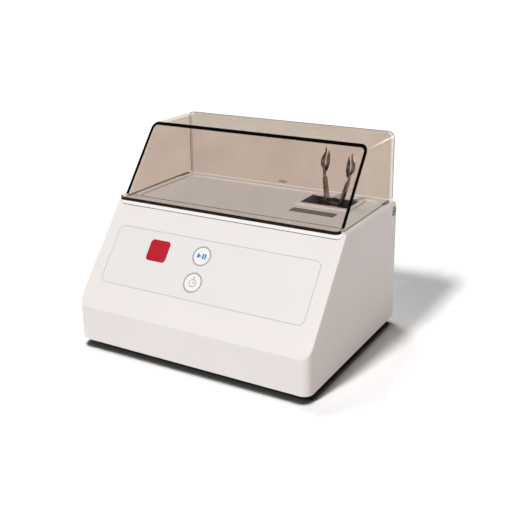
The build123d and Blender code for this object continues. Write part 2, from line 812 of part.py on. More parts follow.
# ---------------------------------------------------------------- controls
with BuildPart() as control_overlay:
    with BuildSketch(slope):
        with Locations((0, (overlay_low + overlay_high) / 2)):
            RectangleRounded(overlay_width, overlay_high - overlay_low, overlay_corner_r)
        with Locations((window_x, window_s)):
            RectangleRounded(window_width + 2 * window_play, window_height + 2 * window_play, window_corner_r,
                             mode=Mode.SUBTRACT)
        with Locations(*key_places.values()):
            Circle(key_r + key_gap, mode=Mode.SUBTRACT)
    extrude(amount=-overlay_thickness)
save(control_overlay, "control_overlay")

with BuildPart() as display_window:
    with BuildSketch(slope):
        with Locations((window_x, window_s)):
            RectangleRounded(window_width, window_height, window_corner_r)
    extrude(amount=-wall)
    with BuildSketch(slope.offset(-wall)):
        with Locations((window_x, window_s)):
            RectangleRounded(window_width + wall, window_height + wall, window_corner_r)
    extrude(amount=-wall / 3)
save(display_window, "display_window")

board_depth = wall + board_gap
tact_depth = board_depth - tact_height
plunger_depth = tact_depth - key_travel - 0.4
for name, place in key_places.items():
    with BuildPart() as key:
        with BuildSketch(slope):
            with Locations(place):
                Circle(key_r)
        extrude(amount=-wall - screw_play)
        with BuildSketch(slope.offset(-wall - screw_play)):
            with Locations(place):
                Circle(key_flange_r)
        extrude(amount=-key_flange_h)
        with BuildSketch(slope.offset(-wall - screw_play - key_flange_h)):
            with Locations(place):
                Circle(key_stem_r)
        extrude(amount=-(plunger_depth - key_travel - screw_play - wall - screw_play - key_flange_h))
    save(key, name)

with BuildPart() as tact_switches:
    with BuildSketch(slope.offset(-board_depth)):
        with Locations(*key_places.values()):
            Rectangle(tact_size, tact_size)
    extrude(amount=tact_height)
    with BuildSketch(slope.offset(-tact_depth)):
        with Locations(*key_places.values()):
            Circle(plunger_r)
    extrude(amount=tact_depth - plunger_depth)
save(tact_switches, "tact_switches")

with BuildPart() as display_module:
    with BuildSketch(slope.offset(-board_depth)):
        with Locations((window_x, window_s)):
            Rectangle(window_width - 1, window_height - 2)
    extrude(amount=board_gap - wall / 3 - window_play)
save(display_module, "display_module")

with BuildPart() as control_board:
    with BuildSketch(slope.offset(-board_depth)):
        with Locations((board_x, board_s)):
            RectangleRounded(board_width, board_height, 2)
        with Locations(*board_places):
            Circle(pilot_r, mode=Mode.SUBTRACT)
    extrude(amount=-board_thickness)
save(control_board, "control_board")

with BuildPart() as board_screws:
    for x, s in board_places:
        with BuildSketch(slope.offset(-board_depth - board_thickness)):
            with Locations((x, s)):
                Circle(screw_head_r - 0.5)
        extrude(amount=-screw_head_h)
        with BuildSketch(slope.offset(-board_depth - board_thickness)):
            with Locations((x, s)):
                Circle(pilot_r)
        extrude(amount=board_thickness + board_gap / 2)
save(board_screws, "board_screws")

# ---------------------------------------------------------------- power electronics on the base
power_z = base_top + standoff_h
with BuildPart() as standoffs:
    for x, y in power_board_places:
        disc(Plane.XY.move(Location((x, y, 0))), standoff_r, base_top, power_z)
save(standoffs, "standoffs")

with BuildPart() as power_board:
    with BuildSketch(Plane.XY.offset(power_z)):
        with Locations((power_board_x, power_board_y)):
            RectangleRounded(*power_board_size, 2)
    extrude(amount=board_thickness)
save(power_board, "power_board")

parts_z = power_z + board_thickness
with BuildPart() as power_transformer:
    x, y = power_board_x + transformer_place[0], power_board_y + transformer_place[1]
    core_x, core_y, core_h = transformer_core
    coil_x, coil_y = transformer_coil
    core_z = parts_z + transformer_foot_h
    block((x - core_x / 2, y - core_y / 2, core_z), (x + core_x / 2, y + core_y / 2, core_z + core_h))
    block((x - coil_x / 2, y - coil_y / 2, parts_z), (x + coil_x / 2, y + coil_y / 2, core_z + core_h))
save(power_transformer, "power_transformer")

with BuildPart() as capacitors:
    x, y = power_board_x + capacitor_place[0], power_board_y + capacitor_place[1]
    for step in (-1, 0, 1):
        here = Plane.XY.move(Location((x, y + step * capacitor_pitch, 0)))
        disc(here, capacitor_r, parts_z, parts_z + capacitor_h)
save(capacitors, "capacitors")

with BuildPart() as heat_sink:
    x, y = power_board_x + sink_place[0], power_board_y + sink_place[1]
    sink_top = parts_z + sink_height
    block((x - sink_web, y - sink_length / 2, parts_z), (x, y + sink_length / 2, sink_top))
    for step in range(fin_count):
        fin = y - sink_length / 2 + step * (sink_length - fin_thickness) / (fin_count - 1)
        block((x, fin, parts_z), (x + fin_reach, fin + fin_thickness, sink_top))
save(heat_sink, "heat_sink")

with BuildPart() as mains_fuse:
    x, y = power_board_x + fuse_place[0], power_board_y + fuse_place[1]
    clip_x, clip_y = clip_size
    disc(Plane(origin=(x, y, parts_z + fuse_rise), x_dir=(0, 1, 0), z_dir=(1, 0, 0)), fuse_r,
         -fuse_length / 2, fuse_length / 2)
    for side in both_sides:
        middle = x + side * clip_pitch / 2
        block((middle - clip_x / 2, y - clip_y / 2, parts_z),
              (middle + clip_x / 2, y + clip_y / 2, parts_z + fuse_rise))
save(mains_fuse, "mains_fuse")

# ---------------------------------------------------------------- power inlet and switch
with BuildPart() as power_inlet:
    with BuildSketch(rear_wall):
        with Locations((-inlet_x, inlet_z)):
            Rectangle(inlet_width, inlet_height)
    extrude(amount=-inlet_depth)
    with BuildSketch(rear_wall):
        with Locations((-inlet_x, inlet_z)):
            RectangleRounded(inlet_width + 2 * inlet_flange, inlet_height + 2 * inlet_flange, 2)
    extrude(amount=inlet_flange_h)
    socket_face = rear_wall.offset(inlet_flange_h)
    with BuildSketch(socket_face) as socket:
        with Locations((-inlet_x, inlet_z)):
            Rectangle(socket_width, socket_height)
        chamfer(socket.vertices().group_by(Axis.Y)[-1], socket_corner)
    extrude(amount=-socket_depth, mode=Mode.SUBTRACT)
save(power_inlet, "power_inlet")

with BuildPart() as inlet_pins:
    floor = socket_face.offset(-socket_depth)
    pin_places = [
        (step * pin_pitch - inlet_x, inlet_z + pin_offset * (1 if step == 0 else -1)) for step in (-1, 0, 1)
    ]
    with BuildSketch(floor):
        with Locations(*pin_places):
            Rectangle(*pin_section)
    extrude(amount=pin_length)
    with BuildSketch(floor.offset(socket_depth - inlet_flange_h - inlet_depth)):
        with Locations(*pin_places):
            Rectangle(*tab_section)
    extrude(amount=-tab_length)
save(inlet_pins, "inlet_pins")

pivot_y = y_rear - rocker_pivot_inset
cavity_half = switch_height / 2 - switch_wall
with BuildPart() as switch_frame:
    with BuildSketch(rear_wall):
        with Locations((-switch_x, switch_z)):
            Rectangle(switch_width, switch_height)
    extrude(amount=-switch_depth)
    with BuildSketch(rear_wall):
        with Locations((-switch_x, switch_z)):
            RectangleRounded(switch_width + 2 * switch_rim, switch_height + 2 * switch_rim, switch_corner_r)
    extrude(amount=switch_bezel)
    with BuildSketch(rear_wall.offset(switch_bezel)):
        with Locations((-switch_x, switch_z)):
            Rectangle(rocker_width + 2 * rocker_gap, 2 * cavity_half)
    extrude(amount=-switch_cavity, mode=Mode.SUBTRACT)
    pivot = Plane(origin=(switch_x, pivot_y, switch_z), x_dir=(0, 1, 0), z_dir=(1, 0, 0))
    reach = rocker_width / 2 + pivot_length + rocker_gap
    disc(pivot, rocker_pivot_r + pivot_play, -reach, reach, mode=Mode.SUBTRACT)
save(switch_frame, "switch_frame")

with BuildPart() as rocker_switch:
    # A shallow V across the front, tipped to OFF at rest
    tilt = radians(rocker_tilt)
    tipped = Plane(origin=pivot.origin, x_dir=(0, cos(tilt), sin(tilt)), z_dir=(1, 0, 0))
    with BuildSketch(tipped.offset(-rocker_width / 2)):
        with BuildLine():
            Polyline(
                (-rocker_back, -rocker_half),
                (rocker_crown, -rocker_half),
                (rocker_dip, 0),
                (rocker_crown, rocker_half),
                (-rocker_back, rocker_half),
                (-rocker_keel, 0),
                close=True,
            )
        make_face()
    extrude(amount=rocker_width)
    fillet(rocker_switch.edges().filter_by(Axis.X).group_by(Axis.Y)[-1], rocker_edge_r)
    disc(pivot, rocker_pivot_r, -rocker_width / 2 - pivot_length, rocker_width / 2 + pivot_length)
save(rocker_switch, "rocker_switch")

# ---------------------------------------------------------------- motor and its bracket
motor_axis = Plane(origin=(0, slot_y, motor_z), x_dir=(0, 1, 0), z_dir=(1, 0, 0))
bearing_seat_front = (can_front, can_front + bearing_width)
bearing_seat_rear = (can_rear - bearing_width, can_rear)

with BuildPart() as motor_can:
    disc(motor_axis, motor_r, can_rear, can_front, bore=motor_r - motor_wall)
save(motor_can, "motor_can")

with BuildPart() as front_bell:
    disc(motor_axis, motor_r, can_front, motor_front, bore=shaft_r + 1)
    disc(motor_axis, bearing_r, *bearing_seat_front, mode=Mode.SUBTRACT)
    with BuildSketch(motor_axis.offset(motor_front)):
        with PolarLocations(motor_screw_pitch_r, 4, 45):
            Circle(motor_screw_r)
    extrude(amount=-bell_length, mode=Mode.SUBTRACT)
    rims = front_bell.edges().filter_by(GeomType.CIRCLE).group_by(SortBy.RADIUS)[-1]
    chamfer(rims.sort_by(Axis.X)[-1], bell_bevel)
save(front_bell, "front_bell")

with BuildPart() as rear_bell:
    disc(motor_axis, motor_r, motor_rear, can_rear, bore=shaft_r + 1)
    disc(motor_axis, bearing_r, *bearing_seat_rear, mode=Mode.SUBTRACT)
    with BuildSketch(motor_axis.offset(motor_rear)):
        with PolarLocations(motor_screw_pitch_r, 4, 45):
            Circle(motor_screw_r)
    extrude(amount=bell_length, mode=Mode.SUBTRACT)
    rims = rear_bell.edges().filter_by(GeomType.CIRCLE).group_by(SortBy.RADIUS)[-1]
    chamfer(rims.sort_by(Axis.X)[0], bell_bevel)
save(rear_bell, "rear_bell")

with BuildPart() as shaft_bearings:
    for seat in (bearing_seat_front, bearing_seat_rear):
        disc(motor_axis, bearing_r, *seat, bore=shaft_r + shaft_play)
save(shaft_bearings, "shaft_bearings")

core_middle = (can_rear + can_front) / 2 - commutator_length
core_rear, core_front = core_middle - armature_length / 2, core_middle + armature_length / 2
with BuildPart() as field_stack:
    disc(motor_axis, motor_r - motor_wall, core_rear, core_front, bore=armature_r + armature_gap)
save(field_stack, "field_stack")

brush_x = core_front + commutator_step + commutator_length / 2
with BuildPart() as brushes:
    for side in both_sides:
        near = side * (commutator_r + brush_gap)
        far = side * (motor_r - motor_wall - 0.2)
        low_y, high_y = sorted((slot_y + near, slot_y + far))
        block((brush_x - brush_size / 2, low_y, motor_z - brush_size / 2),
              (brush_x + brush_size / 2, high_y, motor_z + brush_size / 2))
save(brushes, "brushes")

with BuildPart() as motor_bracket:
    half = bracket_width / 2
    block((bracket_low_x, slot_y - half, mount_top), (bracket_high_x, slot_y + half, bracket_top))
    for x in (bracket_low_x, motor_front):
        face = motor_axis.offset(x)
        with BuildSketch(face):
            Circle(bracket_eye_r)
            with Locations((0, (mount_top - motor_z) / 2)):
                Rectangle(bracket_neck, motor_z - mount_top)
            Circle(bearing_r + 1, mode=Mode.SUBTRACT)
            with PolarLocations(motor_screw_pitch_r, 4, 45):
                Circle(motor_screw_r + screw_play, mode=Mode.SUBTRACT)
            with Locations((0, mount_top - motor_z + bracket_window_rise)):
                SlotOverall(*bracket_window, mode=Mode.SUBTRACT)
        extrude(amount=bracket_thickness)
    with BuildSketch(Plane.XY.offset(mount_top)):
        with Locations(*mount_places):
            Circle(mount_screw_r)
    extrude(amount=bracket_thickness, mode=Mode.SUBTRACT)
    spring_x = slot_x - spring_seat * sin(skew)
    spring_peg = Plane.XY.move(Location((spring_x, slot_y, 0)))
    disc(spring_peg, spring_peg_r, bracket_top, bracket_top + spring_peg_h)
save(motor_bracket, "motor_bracket")

with BuildPart() as motor_screws:
    for x, way in ((motor_front + bracket_thickness, -1), (motor_rear - bracket_thickness, 1)):
        with BuildSketch(motor_axis.offset(x)):
            with PolarLocations(motor_screw_pitch_r, 4, 45):
                Circle(motor_screw_r)
        extrude(amount=way * (bracket_thickness + bell_length - 1))
        with BuildSketch(motor_axis.offset(x)):
            with PolarLocations(motor_screw_pitch_r, 4, 45):
                Circle(2 * motor_screw_r)
        extrude(amount=-way * motor_screw_head_h)
    for x, y in mount_places:
        here = Plane.XY.move(Location((x, y, 0)))
        disc(here, mount_screw_r, z_bottom, bracket_top)
        disc(here, 2 * mount_screw_r, bracket_top, bracket_top + 2)
save(motor_screws, "motor_screws")

with BuildPart() as rubber_mounts:
    for x, y in mount_places:
        disc(Plane.XY.move(Location((x, y, 0))), mount_r, base_top, mount_top, bore=mount_screw_r)
save(rubber_mounts, "rubber_mounts")


# ---------------------------------------------------------------- rotor: shaft, armature and skewed hub
shaft_end = slot_x + ring_width / 2 + nut_height + 4
with BuildPart() as motor_shaft:
    disc(motor_axis, shaft_r, motor_rear + 1, shaft_end)
    chamfer(motor_shaft.edges().filter_by(GeomType.CIRCLE), 0.4)
save(motor_shaft, "motor_shaft")

with BuildPart() as armature:
    with BuildSketch(motor_axis.offset(core_rear)):
        Circle(armature_r)
        Circle(shaft_r, mode=Mode.SUBTRACT)
        with PolarLocations(armature_r - 1.5, 10):
            Rectangle(6, 2.4, mode=Mode.SUBTRACT)
    extrude(amount=armature_length)
save(armature, "armature")

with BuildPart() as commutator:
    disc(motor_axis, commutator_r, core_front, brush_x + commutator_length / 2, bore=shaft_r)
save(commutator, "commutator")

journal = Plane(origin=fork_centre, x_dir=(0, 1, 0), z_dir=journal_dir)
half_ring = ring_width / 2
collar_end = slot_x - half_ring - hub_flange + 1
with BuildPart() as skew_hub:
    disc(journal, journal_r + 2, -half_ring - hub_flange, -half_ring)
    disc(journal, journal_r, -half_ring, half_ring - 0.4)
    disc(motor_axis, collar_r, collar_end - collar_length, collar_end)
    disc(motor_axis, shaft_r, collar_end - collar_length - 5, slot_x + ring_width, mode=Mode.SUBTRACT)
    grub = Plane(origin=(collar_end - collar_length / 2, slot_y, motor_z), x_dir=(1, 0, 0), z_dir=(0, 0, -1))
    disc(grub, pilot_r, shaft_r - 0.5, collar_r + 1, mode=Mode.SUBTRACT)
save(skew_hub, "skew_hub")

with BuildPart() as hub_grub_screw:
    disc(grub, pilot_r, shaft_r, collar_r - 0.5)
save(hub_grub_screw, "hub_grub_screw")

with BuildPart() as balance_weight:
    weight_end = collar_end - collar_length - 0.2
    with BuildSketch(motor_axis.offset(weight_end - weight_thickness)):
        Circle(weight_r)
        with Locations((0, weight_r)):
            Rectangle(2 * weight_r, 2 * weight_r, mode=Mode.SUBTRACT)
        Circle(collar_r - 2)
        Circle(shaft_r, mode=Mode.SUBTRACT)
    extrude(amount=weight_thickness)
save(balance_weight, "balance_weight")

with BuildPart() as bearing_inner_ring:
    disc(journal, ring_inner_r, -half_ring, half_ring, bore=journal_r)
save(bearing_inner_ring, "bearing_inner_ring")

with BuildPart() as hub_washer:
    disc(journal, journal_r + 2, half_ring, half_ring + washer_thickness, bore=shaft_r + washer_play)
save(hub_washer, "hub_washer")

with BuildPart() as shaft_nut:
    nut_start = slot_x + half_ring + washer_thickness + (journal_r + 2) * tan(skew) + 0.1
    with BuildSketch(motor_axis.offset(nut_start)):
        RegularPolygon(nut_width / 2, 6, major_radius=False)
        Circle(shaft_r, mode=Mode.SUBTRACT)
    extrude(amount=nut_height)
save(shaft_nut, "shaft_nut")

# ---------------------------------------------------------------- fork
with BuildPart() as bearing_outer_ring:
    disc(journal, ring_r, -half_ring, half_ring, bore=ring_outer_r)
save(bearing_outer_ring, "bearing_outer_ring")

with BuildPart() as bearing_balls:
    with Locations(journal):
        with PolarLocations((ring_inner_r + ring_outer_r) / 2, ball_count):
            Sphere(ball_r)
save(bearing_balls, "bearing_balls")

with BuildPart() as fork_yoke:
    with BuildSketch(fork_front_plane.offset(-yoke_half)):
        Circle(yoke_ring_r)
        with BuildLine():
            Polyline(
                (-yoke_ring_r * 0.8, yoke_ring_r * 0.6),
                (-yoke_width / 2, yoke_shoulder),
                (-yoke_width / 2, yoke_top),
                (yoke_width / 2, yoke_top),
                (yoke_width / 2, yoke_shoulder),
                (yoke_ring_r * 0.8, yoke_ring_r * 0.6),
                close=True,
            )
        make_face()
        Circle(ring_r, mode=Mode.SUBTRACT)
        # A notch in the stem's top leaves two thin bars from arm to arm
        with Locations((0, yoke_top - yoke_notch / 2)):
            Rectangle(yoke_width - 2 * yoke_bar, yoke_notch, mode=Mode.SUBTRACT)
        with Locations((0, -(ring_r + spring_seat) / 2)):
            Rectangle(tail_width, spring_seat - ring_r)
    extrude(amount=2 * yoke_half)
    foot = Plane(origin=fork_centre, x_dir=(0, 1, 0), z_dir=tuple(-v for v in fork_up))
    disc(foot, spring_peg_r, spring_seat, spring_seat + spring_peg_h)
    disc(journal, ring_r, -yoke_half, yoke_half, mode=Mode.SUBTRACT)
    with BuildSketch(fork_front_plane.offset(-yoke_half)):
        with Locations(*[(0, h) for h in rivet_heights]):
            Circle(rivet_r)
    extrude(amount=2 * yoke_half, mode=Mode.SUBTRACT)
save(fork_yoke, "fork_yoke")

arm_lean = (arm_spread - yoke_half - arm_depth / 2) / (arm_top - arm_bend)


def arm_line(shift, low=arm_foot, high=arm_top):
    """Side view of the right arm's middle line, moved outwards by shift, from height low to high."""
    foot_across = yoke_half + arm_depth / 2 + shift
    top_across = arm_spread + shift + (high - arm_top) * arm_lean
    return [(foot_across, low), (foot_across, arm_bend), (top_across, high)]


def taper(inset, low, high):
    """Front view of an arm between two heights, its edges moved inwards by inset."""
    narrowing = (arm_foot_width - arm_top_width) / (arm_top - arm_foot)
    foot_half, top_half = [(arm_foot_width - narrowing * (h - arm_foot)) / 2 - inset for h in (low, high)]
    return [(-foot_half, low), (foot_half, low), (top_half, high), (-top_half, high)]


with BuildPart() as channel:
    with BuildSketch(fork_side_plane):
        with BuildLine():
            FilletPolyline(*arm_line(arm_web, arm_foot + arm_flange, arm_top + arm_depth), radius=arm_bend_r)
        trace(line_width=arm_depth)
    extrude(amount=arm_foot_width / 2, both=True)
    with BuildSketch(fork_front_plane):
        Polygon(*taper(arm_flange, arm_foot + arm_flange, arm_top + arm_depth), align=None)
    extrude(amount=2 * arm_spread, mode=Mode.INTERSECT)

with BuildPart() as right_arm:
    with BuildSketch(fork_side_plane):
        with BuildLine():
            FilletPolyline(*arm_line(0), radius=arm_bend_r)
        trace(line_width=arm_depth)
    extrude(amount=arm_foot_width / 2, both=True)
    with BuildSketch(fork_front_plane):
        Polygon(*taper(0, arm_foot - arm_depth, arm_top + arm_depth), align=None)
    extrude(amount=2 * arm_spread, mode=Mode.INTERSECT)
    add(channel.part, mode=Mode.SUBTRACT)
    with BuildSketch(fork_front_plane):
        with Locations(*[(0, h) for h in rivet_heights]):
            Circle(rivet_r)
    extrude(amount=2 * arm_spread, mode=Mode.SUBTRACT)
save(right_arm, "right_arm")

with BuildPart() as left_arm:
    mirror(right_arm.part, about=fork_front_plane)
save(left_arm, "left_arm")

with BuildPart() as arm_rivets:
    grip = yoke_half + arm_web
    for h in rivet_heights:
        for start, end, radius in ((-grip, grip, rivet_r), (-grip - rivet_head_h, -grip, rivet_head_r),
                                   (grip, grip + rivet_head_h, rivet_head_r)):
            with BuildSketch(fork_front_plane.offset(start)):
                with Locations((0, h)):
                    Circle(radius)
            extrude(amount=end - start)
save(arm_rivets, "arm_rivets")

claw_centre = fork_side_plane.from_local_coords((claw_axis, claw_height, 0))
with BuildPart() as right_claw:
    # A tulip spun about an upright axis; only its outer half stands, open towards the other claw
    with BuildSketch(fork_side_plane):
        with BuildLine():
            Spline(
                *[(claw_axis + radius, claw_height + rise)
                  for radius, rise in (claw_neck, (claw_belly_r, 0), claw_shoulder, claw_throat, claw_tip)],
                tangents=[(1, 1), (1, 1.5)],
            )
        trace(line_width=claw_wall)
    revolve(axis=Axis(claw_centre, fork_up))
    with BuildSketch(fork_side_plane):
        inner, outer = claw_axis + claw_open, claw_axis + claw_belly_r + claw_wall
        foot, head = claw_height + claw_neck[1] - claw_wall, claw_height + claw_tip[1]
        Polygon(
            (inner, foot),
            (outer, foot),
            (outer, head + claw_belly_r),
            (claw_axis + claw_tip[0], head),
            (inner, claw_height + claw_side_tip),
            align=None,
        )
    extrude(amount=claw_belly_r + claw_wall, both=True, mode=Mode.INTERSECT)

    # Two gaps, wider towards the top, leave three pointed prongs
    for turn in (-prong_turn, prong_turn):
        angle = radians(turn)
        outwards = Vector(*journal_dir) * cos(angle) + Vector(0, 1, 0) * sin(angle)
        along = Vector(*journal_dir) * -sin(angle) + Vector(0, 1, 0) * cos(angle)
        with BuildSketch(Plane(origin=claw_centre, x_dir=along, z_dir=outwards)):
            Polygon(
                (-prong_gap / 2, prong_gap_low),
                (prong_gap / 2, prong_gap_low),
                (prong_gap / 2, prong_gap_waist),
                (prong_gap_top / 2, claw_tip[1] + claw_wall),
                (-prong_gap_top / 2, claw_tip[1] + claw_wall),
                (-prong_gap / 2, prong_gap_waist),
                align=None,
            )
        extrude(amount=2 * claw_belly_r, mode=Mode.SUBTRACT)

    # Shank, lying in the arm's channel and widening into the cup
    shank_shift = arm_web - (arm_depth - claw_wall) / 2
    shank_top = claw_height + claw_neck[1] + 2 * claw_wall
    with BuildSketch(fork_side_plane) as shank_side:
        with BuildLine():
            FilletPolyline(
                (arm_spread + shank_shift + (shank_low - arm_top) * arm_lean, shank_low),
                (arm_spread + shank_shift, arm_top),
                (claw_axis + claw_neck[0] + claw_wall / 2, shank_top),
                radius=claw_belly_r / 2,
            )
        trace(line_width=claw_wall)
    shank = extrude(shank_side.sketch, amount=shank_top_width / 2, both=True, mode=Mode.PRIVATE)
    with BuildSketch(fork_front_plane) as shank_front:
        low_half, high_half = shank_width / 2, shank_top_width / 2
        Polygon(
            (-low_half, shank_low - claw_wall),
            (low_half, shank_low - claw_wall),
            (low_half, arm_top + claw_wall),
            (high_half, shank_top),
            (high_half, shank_top + claw_wall),
            (-high_half, shank_top + claw_wall),
            (-high_half, shank_top),
            (-low_half, arm_top + claw_wall),
            align=None,
        )
    add(shank & extrude(shank_front.sketch, amount=2 * arm_spread, mode=Mode.PRIVATE))
save(right_claw, "right_claw")

with BuildPart() as left_claw:
    mirror(right_claw.part, about=fork_front_plane)
save(left_claw, "left_claw")

with BuildPart() as restraint_spring:
    spring_length = motor_z - spring_seat - bracket_top - spring_wire - tail_play
    with BuildLine():
        coil = Helix(
            pitch=spring_length / spring_turns,
            height=spring_length,
            radius=spring_r,
            center=(spring_x, slot_y, bracket_top + spring_wire / 2),
        )
    with BuildSketch(Plane(origin=coil @ 0, x_dir=(1, 0, 0), z_dir=coil % 0)):
        Rectangle(spring_wire, spring_wire)
    sweep()
save(restraint_spring, "restraint_spring")
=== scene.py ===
"""Looks of a bench mixer for dental capsules: finishes, printed marks, sheet edges, lamps and camera.

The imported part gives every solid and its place. Each sub-assembly below is a class that dresses its own
solids and adds the thin pieces that the solids leave out. All lengths are in metres, in the part's frame.
"""

import logging
import math
from collections.abc import Iterable, Sequence
from dataclasses import dataclass, field
from enum import Enum

import bmesh
import bpy
from mathutils import Matrix, Vector

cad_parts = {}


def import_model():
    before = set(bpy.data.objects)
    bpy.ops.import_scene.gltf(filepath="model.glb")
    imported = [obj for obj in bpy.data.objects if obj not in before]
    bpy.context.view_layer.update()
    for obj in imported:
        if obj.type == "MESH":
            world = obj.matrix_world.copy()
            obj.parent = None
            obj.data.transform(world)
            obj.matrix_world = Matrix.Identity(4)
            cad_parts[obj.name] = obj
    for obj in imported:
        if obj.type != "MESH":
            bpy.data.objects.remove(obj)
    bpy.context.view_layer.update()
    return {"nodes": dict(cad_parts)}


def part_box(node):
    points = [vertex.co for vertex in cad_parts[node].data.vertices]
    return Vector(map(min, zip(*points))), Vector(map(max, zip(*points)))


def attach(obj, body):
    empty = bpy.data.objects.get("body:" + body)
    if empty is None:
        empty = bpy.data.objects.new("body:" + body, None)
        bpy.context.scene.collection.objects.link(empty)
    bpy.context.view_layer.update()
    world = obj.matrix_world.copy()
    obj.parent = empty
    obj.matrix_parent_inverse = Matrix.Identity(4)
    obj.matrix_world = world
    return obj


LOG = logging.getLogger("mixer")
MM = 0.001
HAIR = 0.01 * MM  # a point this near a face lies on it
SHEET = 3.0 * MM  # thickness of the hood's sheet
SHARP_ANGLE = math.radians(35.0)  # edges that turn by more than this stay sharp

Colour = tuple[float, float, float]
Value = float | Sequence[float] | bpy.types.NodeSocket


# ---------------------------------------------------------------- finishes
SUM_RANGE = (0.7, 1.3)  # what two added noises wander through
# Painted shade: a finish's colour is darkened towards this tone where walls stand near
PAINTED_SHADE_TONE: Colour = (0.002, 0.0017, 0.0017)
PAINTED_SHADE_RANGE = (0.5, 0.9)  # ambient-occlusion value where the painted shade is darkest, and where it ends
PAINTED_SHADE_SAMPLES = 12
FRESNEL_POWER = 5.0  # how late a smooth face turns into a mirror at grazing angles


class Worked(Enum):
    """How a surface was made, as the stretch of its grain along X, Y and Z."""

    EVEN = (1.0, 1.0, 1.0)
    DRAWN_X = (0.04, 1.0, 1.0)
    DRAWN_Z = (1.0, 1.0, 0.06)
    STACKED_X = (1.0, 0.02, 0.02)


class NodeBench:
    """A new material's node tree, with short ways to lay the nodes that finishes share."""

    def __init__(self, name: str) -> None:
        """Start an empty tree.

        Args:
            name: The material's name.
        """
        self.material = bpy.data.materials.new(name)
        self.material.use_nodes = True
        self.tree = self.material.node_tree
        self.tree.nodes.clear()
        self.place = self.lay("TexCoord").outputs["Object"]

    def lay(self, kind: str, inputs: dict[str | int, Value] | None = None,
            **settings: object) -> bpy.types.Node:
        """Add one node.

        Args:
            kind: The node's type, without its ShaderNode prefix.
            inputs: Socket name or index, and the value or the socket that feeds it.
            **settings: Properties set on the node before its inputs.

        Returns:
            The new node.
        """
        node = self.tree.nodes.new(f"ShaderNode{kind}")
        for key, value in settings.items():
            setattr(node, key, value)
        for key, value in (inputs or {}).items():
            if isinstance(value, bpy.types.NodeSocket):
                self.tree.links.new(value, node.inputs[key])
            else:
                node.inputs[key].default_value = value
        return node

    def cloud(self, size: float, stretch: Worked = Worked.EVEN, detail: float = 3.0) -> bpy.types.NodeSocket:
        """Lay smooth noise in the part's own space.

        Args:
            size: Width of one patch, in metres.
            stretch: How the patches are drawn out.
            detail: How many finer layers are added.

        Returns:
            A socket that wanders about one half.
        """
        mapped = self.lay("Mapping", {"Vector": self.place, "Scale": stretch.value})
        noise = self.lay("TexNoise", {"Vector": mapped.outputs[0], "Scale": 1.0 / size, "Detail": detail})
        return noise.outputs[0]

    def spread(self, socket: bpy.types.NodeSocket, low: float, high: float, start: float = 0.3,
               end: float = 0.7) -> bpy.types.NodeSocket:
        """Map a wandering value, which runs from start to end, on to low to high."""
        inputs = {"Value": socket, "From Min": start, "From Max": end, "To Min": low, "To Max": high}
        return self.lay("MapRange", inputs).outputs[0]

    def blend(self, share: Value, first: Value, second: Value) -> bpy.types.NodeSocket:
        """Mix two colours, with a share of the second from 0 to 1."""
        first, second = (_opaque(c) if isinstance(c, tuple) else c for c in (first, second))
        return self.lay("Mix", {0: share, 6: first, 7: second}, data_type="RGBA").outputs[2]

    def relief(self, height: bpy.types.NodeSocket, depth: float) -> bpy.types.NodeSocket:
        """Turn a height, from 0 to 1 over a depth in metres, into a bumped normal."""
        return self.lay("Bump", {"Height": height, "Distance": depth, "Strength": 1.0}).outputs[0]

    def close(self, shader: bpy.types.NodeSocket) -> bpy.types.Material:
        """Send a shader to the output and hand the finished material over."""
        self.lay("OutputMaterial", {"Surface": shader})
        return self.material


def _opaque(colour: Colour) -> tuple[float, float, float, float]:
    """Add a full alpha to a colour."""
    return (*colour, 1.0)


@dataclass(frozen=True)
class Finish:
    """A solid surface whose colour, sheen and relief wander a little from place to place."""

    name: str
    colour: Colour
    shade: Colour
    roughness: float = 0.4
    swing: float = 0.06  # how far the roughness strays either way
    blotch: float = 30.0 * MM
    grain: float = 0.6 * MM
    relief: float = 0.01 * MM
    metal: float = 0.0
    gloss: float = 0.5
    worked: Worked = Worked.EVEN
    patchy: float = 0.3  # how softly colour and shade meet
    painted_shade_reach: float = 0.0  # painted shade: how near a wall has to be for the colour to be darkened as if shaded

    def material(self) -> bpy.types.Material:
        """Build the finish's material.

        Returns:
            The material.
        """
        bench = NodeBench(self.name)
        patches = bench.cloud(self.blotch, detail=2.0)
        grain = bench.cloud(self.grain, self.worked)
        wander = bench.lay("Math", {0: patches, 1: grain}, operation="ADD").outputs[0]
        share = bench.spread(wander, 0.0, 1.0, 1.0 - self.patchy, 1.0 + self.patchy)
        colour = bench.blend(share, self.colour, self.shade)
        # painted shade: the colour is darkened towards a near-black tone where walls stand close, as shade
        # would fall in a recess
        if self.painted_shade_reach:
            around = bench.lay("AmbientOcclusion", {"Distance": self.painted_shade_reach}, samples=PAINTED_SHADE_SAMPLES)
            openness = bench.spread(around.outputs["AO"], 0.0, 1.0, *PAINTED_SHADE_RANGE)
            colour = bench.blend(openness, PAINTED_SHADE_TONE, colour)
        low, high = self.roughness - self.swing, self.roughness + self.swing
        shader = bench.lay("BsdfPrincipled", {
            "Base Color": colour,
            "Roughness": bench.spread(wander, low, high, *SUM_RANGE),
            "Normal": bench.relief(grain, self.relief),
            "Metallic": self.metal,
            "Specular IOR Level": self.gloss,
        })
        return bench.close(shader.outputs[0])


